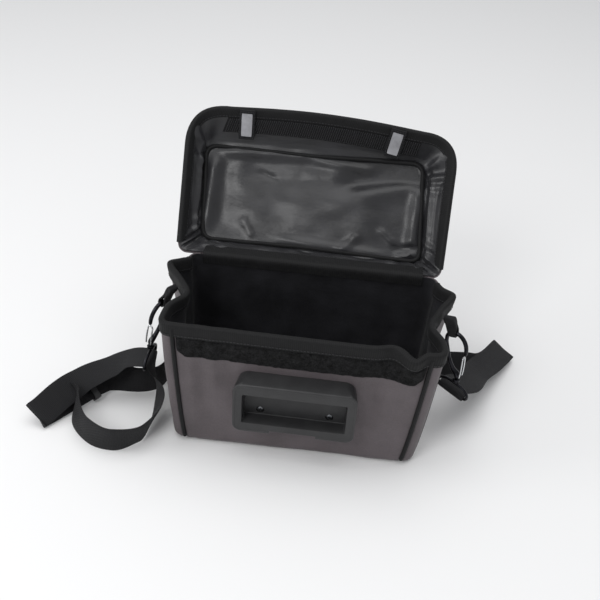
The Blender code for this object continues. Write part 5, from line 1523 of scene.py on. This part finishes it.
strapEnds = dict(tail=0.022, leftTurn=(113, 85, 56, 27), sliderRow=20, lift=0.0026, last=((0.5, 1.5), (0.0, 1.0), (-0.8, 1.0)))


def strapRow(row):
    side, beyond, back, high, wide = row
    centre = Vector((side * (bodySize["width"] / 2 + beyond * strapReach), back * bodySize["depth"], high * webWidth))
    return centre, Vector(wide).normalized()


def strapFrame(row):
    index = math.floor(row)
    before, here, after = (strapRow(strapRows[index + step]) for step in (-1, 0, 1))
    along = (after[0] - before[0]).normalized()
    centre = here[0].lerp(after[0], row - index)
    wide = here[1].lerp(after[1], row - index)
    wide = (wide - along * wide.dot(along)).normalized()
    face = along.cross(wide).normalized()
    return centre, wide, -face if face.z < 0 else face


def strapStations():
    stations = []
    radius = ringSize["wire"] / 2 + 2 * gap + webThick / 2
    top, bar, hang = ringFrame(1)
    centre = top + hang * ringSize["height"]
    start = strapRow(strapRows[0])[0] - centre
    away = (start - bar * start.dot(bar)).normalized()
    over = bar.cross(away).normalized()
    over = -over if over.z < 0 else over
    wide = bar if bar.x > 0 else -bar
    for tail, turn, high in tailTurn:
        stations.append((centre + away * (tail * strapEnds["tail"] + turn * radius) + over * (high * radius), wide))
    stations += [strapRow(row) for row in strapRows]
    top, bar, hang = ringFrame(-1)
    centre = top + hang * ringSize["height"]
    wide = -bar if bar.y > 0 else bar
    level = hang.cross(bar).normalized()
    level = -level if level.x < 0 else level
    for degrees in strapEnds["leftTurn"]:
        angle = math.radians(degrees)
        stations.append((centre + (level * math.cos(angle) - hang * math.sin(angle)) * radius, wide))
    stations += [strapRow(row) for row in strapLoop]
    for past, lift in strapEnds["last"]:
        centre, wide, face = strapFrame(strapEnds["sliderRow"] + past)
        stations.append((centre + face * (strapEnds["lift"] * lift), -wide))
    return stations


def buildStrap():
    stations = strapStations()
    points = [p for p, w in stations]
    widths = [w for p, w in stations]

    def steps(a, b):
        return max(2, round((b - a).length / 0.0030))

    path = smoothPath(points, steps)
    across = []
    for i in range(len(points) - 1):
        here = steps(points[i], points[i + 1])
        across += [widths[i].lerp(widths[i + 1], float(smooth(k / here))) for k in range(here)]
    across.append(widths[-1])
    section = []
    for v in (-0.5, -0.44, -0.3, -0.15, 0.0, 0.15, 0.3, 0.44, 0.5):
        section.append((v, 1.0 if abs(v) < 0.43 else (0.85 if abs(v) < 0.49 else 0.35)))
    rows = []
    backs = []
    frames = []
    for i, (point, wide) in enumerate(zip(path, across)):
        along = (path[min(i + 1, len(path) - 1)] - path[max(i - 1, 0)]).normalized()
        wide = (wide - along * wide.dot(along)).normalized()
        face = along.cross(wide)
        frames.append((point, along, wide, face))
        rows.append([list(point + wide * (v * webWidth) + face * (webThick / 2 * full)) for v, full in section])
        backs.append([list(point + wide * (v * webWidth) - face * (webThick / 2 * full)) for v, full in section])
    count, columns = len(rows), len(section)
    verts = np.concatenate([np.array(rows).reshape(-1, 3), np.array(backs).reshape(-1, 3)])
    run = np.concatenate([[0], np.cumsum([(path[i + 1] - path[i]).length for i in range(count - 1)])])
    total = count * columns
    faces = []
    uvs = []
    for i in range(count - 1):
        for c in range(columns - 1):
            for layer in (0, total):
                a = layer + i * columns + c
                faces.append([a, a + 1, a + columns + 1, a + columns])
                u, w = (section[k][0] * webWidth for k in (c, c + 1))
                uvs += [(u, run[i]), (w, run[i]), (w, run[i + 1]), (u, run[i + 1])]
        for c in (0, columns - 1):
            a = i * columns + c
            faces.append([a, a + columns, total + a + columns, total + a])
            uvs += [(0, run[i]), (0, run[i + 1]), (0.0008, run[i + 1]), (0.0008, run[i])]
    for i in (0, count - 1):
        for c in range(columns - 1):
            a = i * columns + c
            faces.append([a, a + 1, total + a + 1, total + a])
            uvs += [(section[c][0] * webWidth, 0), (section[c + 1][0] * webWidth, 0), (section[c + 1][0] * webWidth, 0.0008), (section[c][0] * webWidth, 0.0008)]
    strap = addObject("shoulderStrap", verts, faces, uvs, "webbing")
    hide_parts("shoulder_strap")
    print("strap length", round(float(run[-1]), 3))

    # Two lines of sewing across the tail where it is turned back at the right ring
    tail = [f for f in frames[:9]]
    for name, back in (("tailStitchA", 2), ("tailStitchB", 5)):
        point, along, wide, face = tail[back]
        for sign in (1,):
            line = [list(point + wide * (v * webWidth) + face * (sign * (webThick / 2 + 0.0001))) for v in np.linspace(-0.44, 0.44, 24)]
            stitchRow(name, line, [list(face * sign)] * 24)


buildStrap()

# The slider keeps its CAD solid, with the plate's moulded nylon
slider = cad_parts["strap_slider"]
slider.data.materials.clear()
slider.data.materials.append(finish["nylon"])
print("strap made")


# Stage: a pale floor that runs into a pale background, lit softly from above and the left
def buildStage():
    floor = bpy.data.materials.new("paleStudioFloor")  # matte painted board: even, with no pattern of its own
    floor.use_nodes = True
    shader = floor.node_tree.nodes["Principled BSDF"]
    shader.inputs["Base Color"].default_value = hexColour("#eeeeee")
    shader.inputs["Roughness"].default_value = 0.85
    shader.inputs["Specular IOR Level"].default_value = 0.2
    data = bpy.data.meshes.new("stageFloor")
    data.from_pydata([(-6, -6, -0.0003), (6, -6, -0.0003), (6, 9, -0.0003), (-6, 9, -0.0003)], [], [(0, 1, 2, 3)])
    data.materials.append(floor)
    ground = bpy.data.objects.new("stageFloor", data)
    bpy.context.scene.collection.objects.link(ground)
    world = bpy.data.worlds.new("studio")
    world.use_nodes = True
    world.node_tree.nodes["Background"].inputs["Color"].default_value = hexColour("#f4f5f7")
    world.node_tree.nodes["Background"].inputs["Strength"].default_value = 0.60
    bpy.context.scene.world = world
    lamps = (
        # name, place, size, power, aim
        ("lampTop", (0.1, 0.1, 2.4), 2.2, 24, (0, 0, 0.1)),
        ("lampFront", (-0.9, -1.7, 1.7), 0.8, 17, (0, 0, 0.15)),
        ("lampLeft", (-1.8, -0.4, 0.9), 0.8, 8, (0, 0, 0.1)),
    )
    for name, place, size, power, aim in lamps:
        lamp = bpy.data.objects.new(name, bpy.data.lights.new(name, "AREA"))
        lamp.data.size = size
        lamp.data.energy = power
        lamp.location = place
        lamp.rotation_euler = (Vector(place) - Vector(aim)).to_track_quat("Z", "Y").to_euler()
        bpy.context.scene.collection.objects.link(lamp)
    bpy.context.scene.view_settings.view_transform = "Standard"


buildStage()
print("stage set")
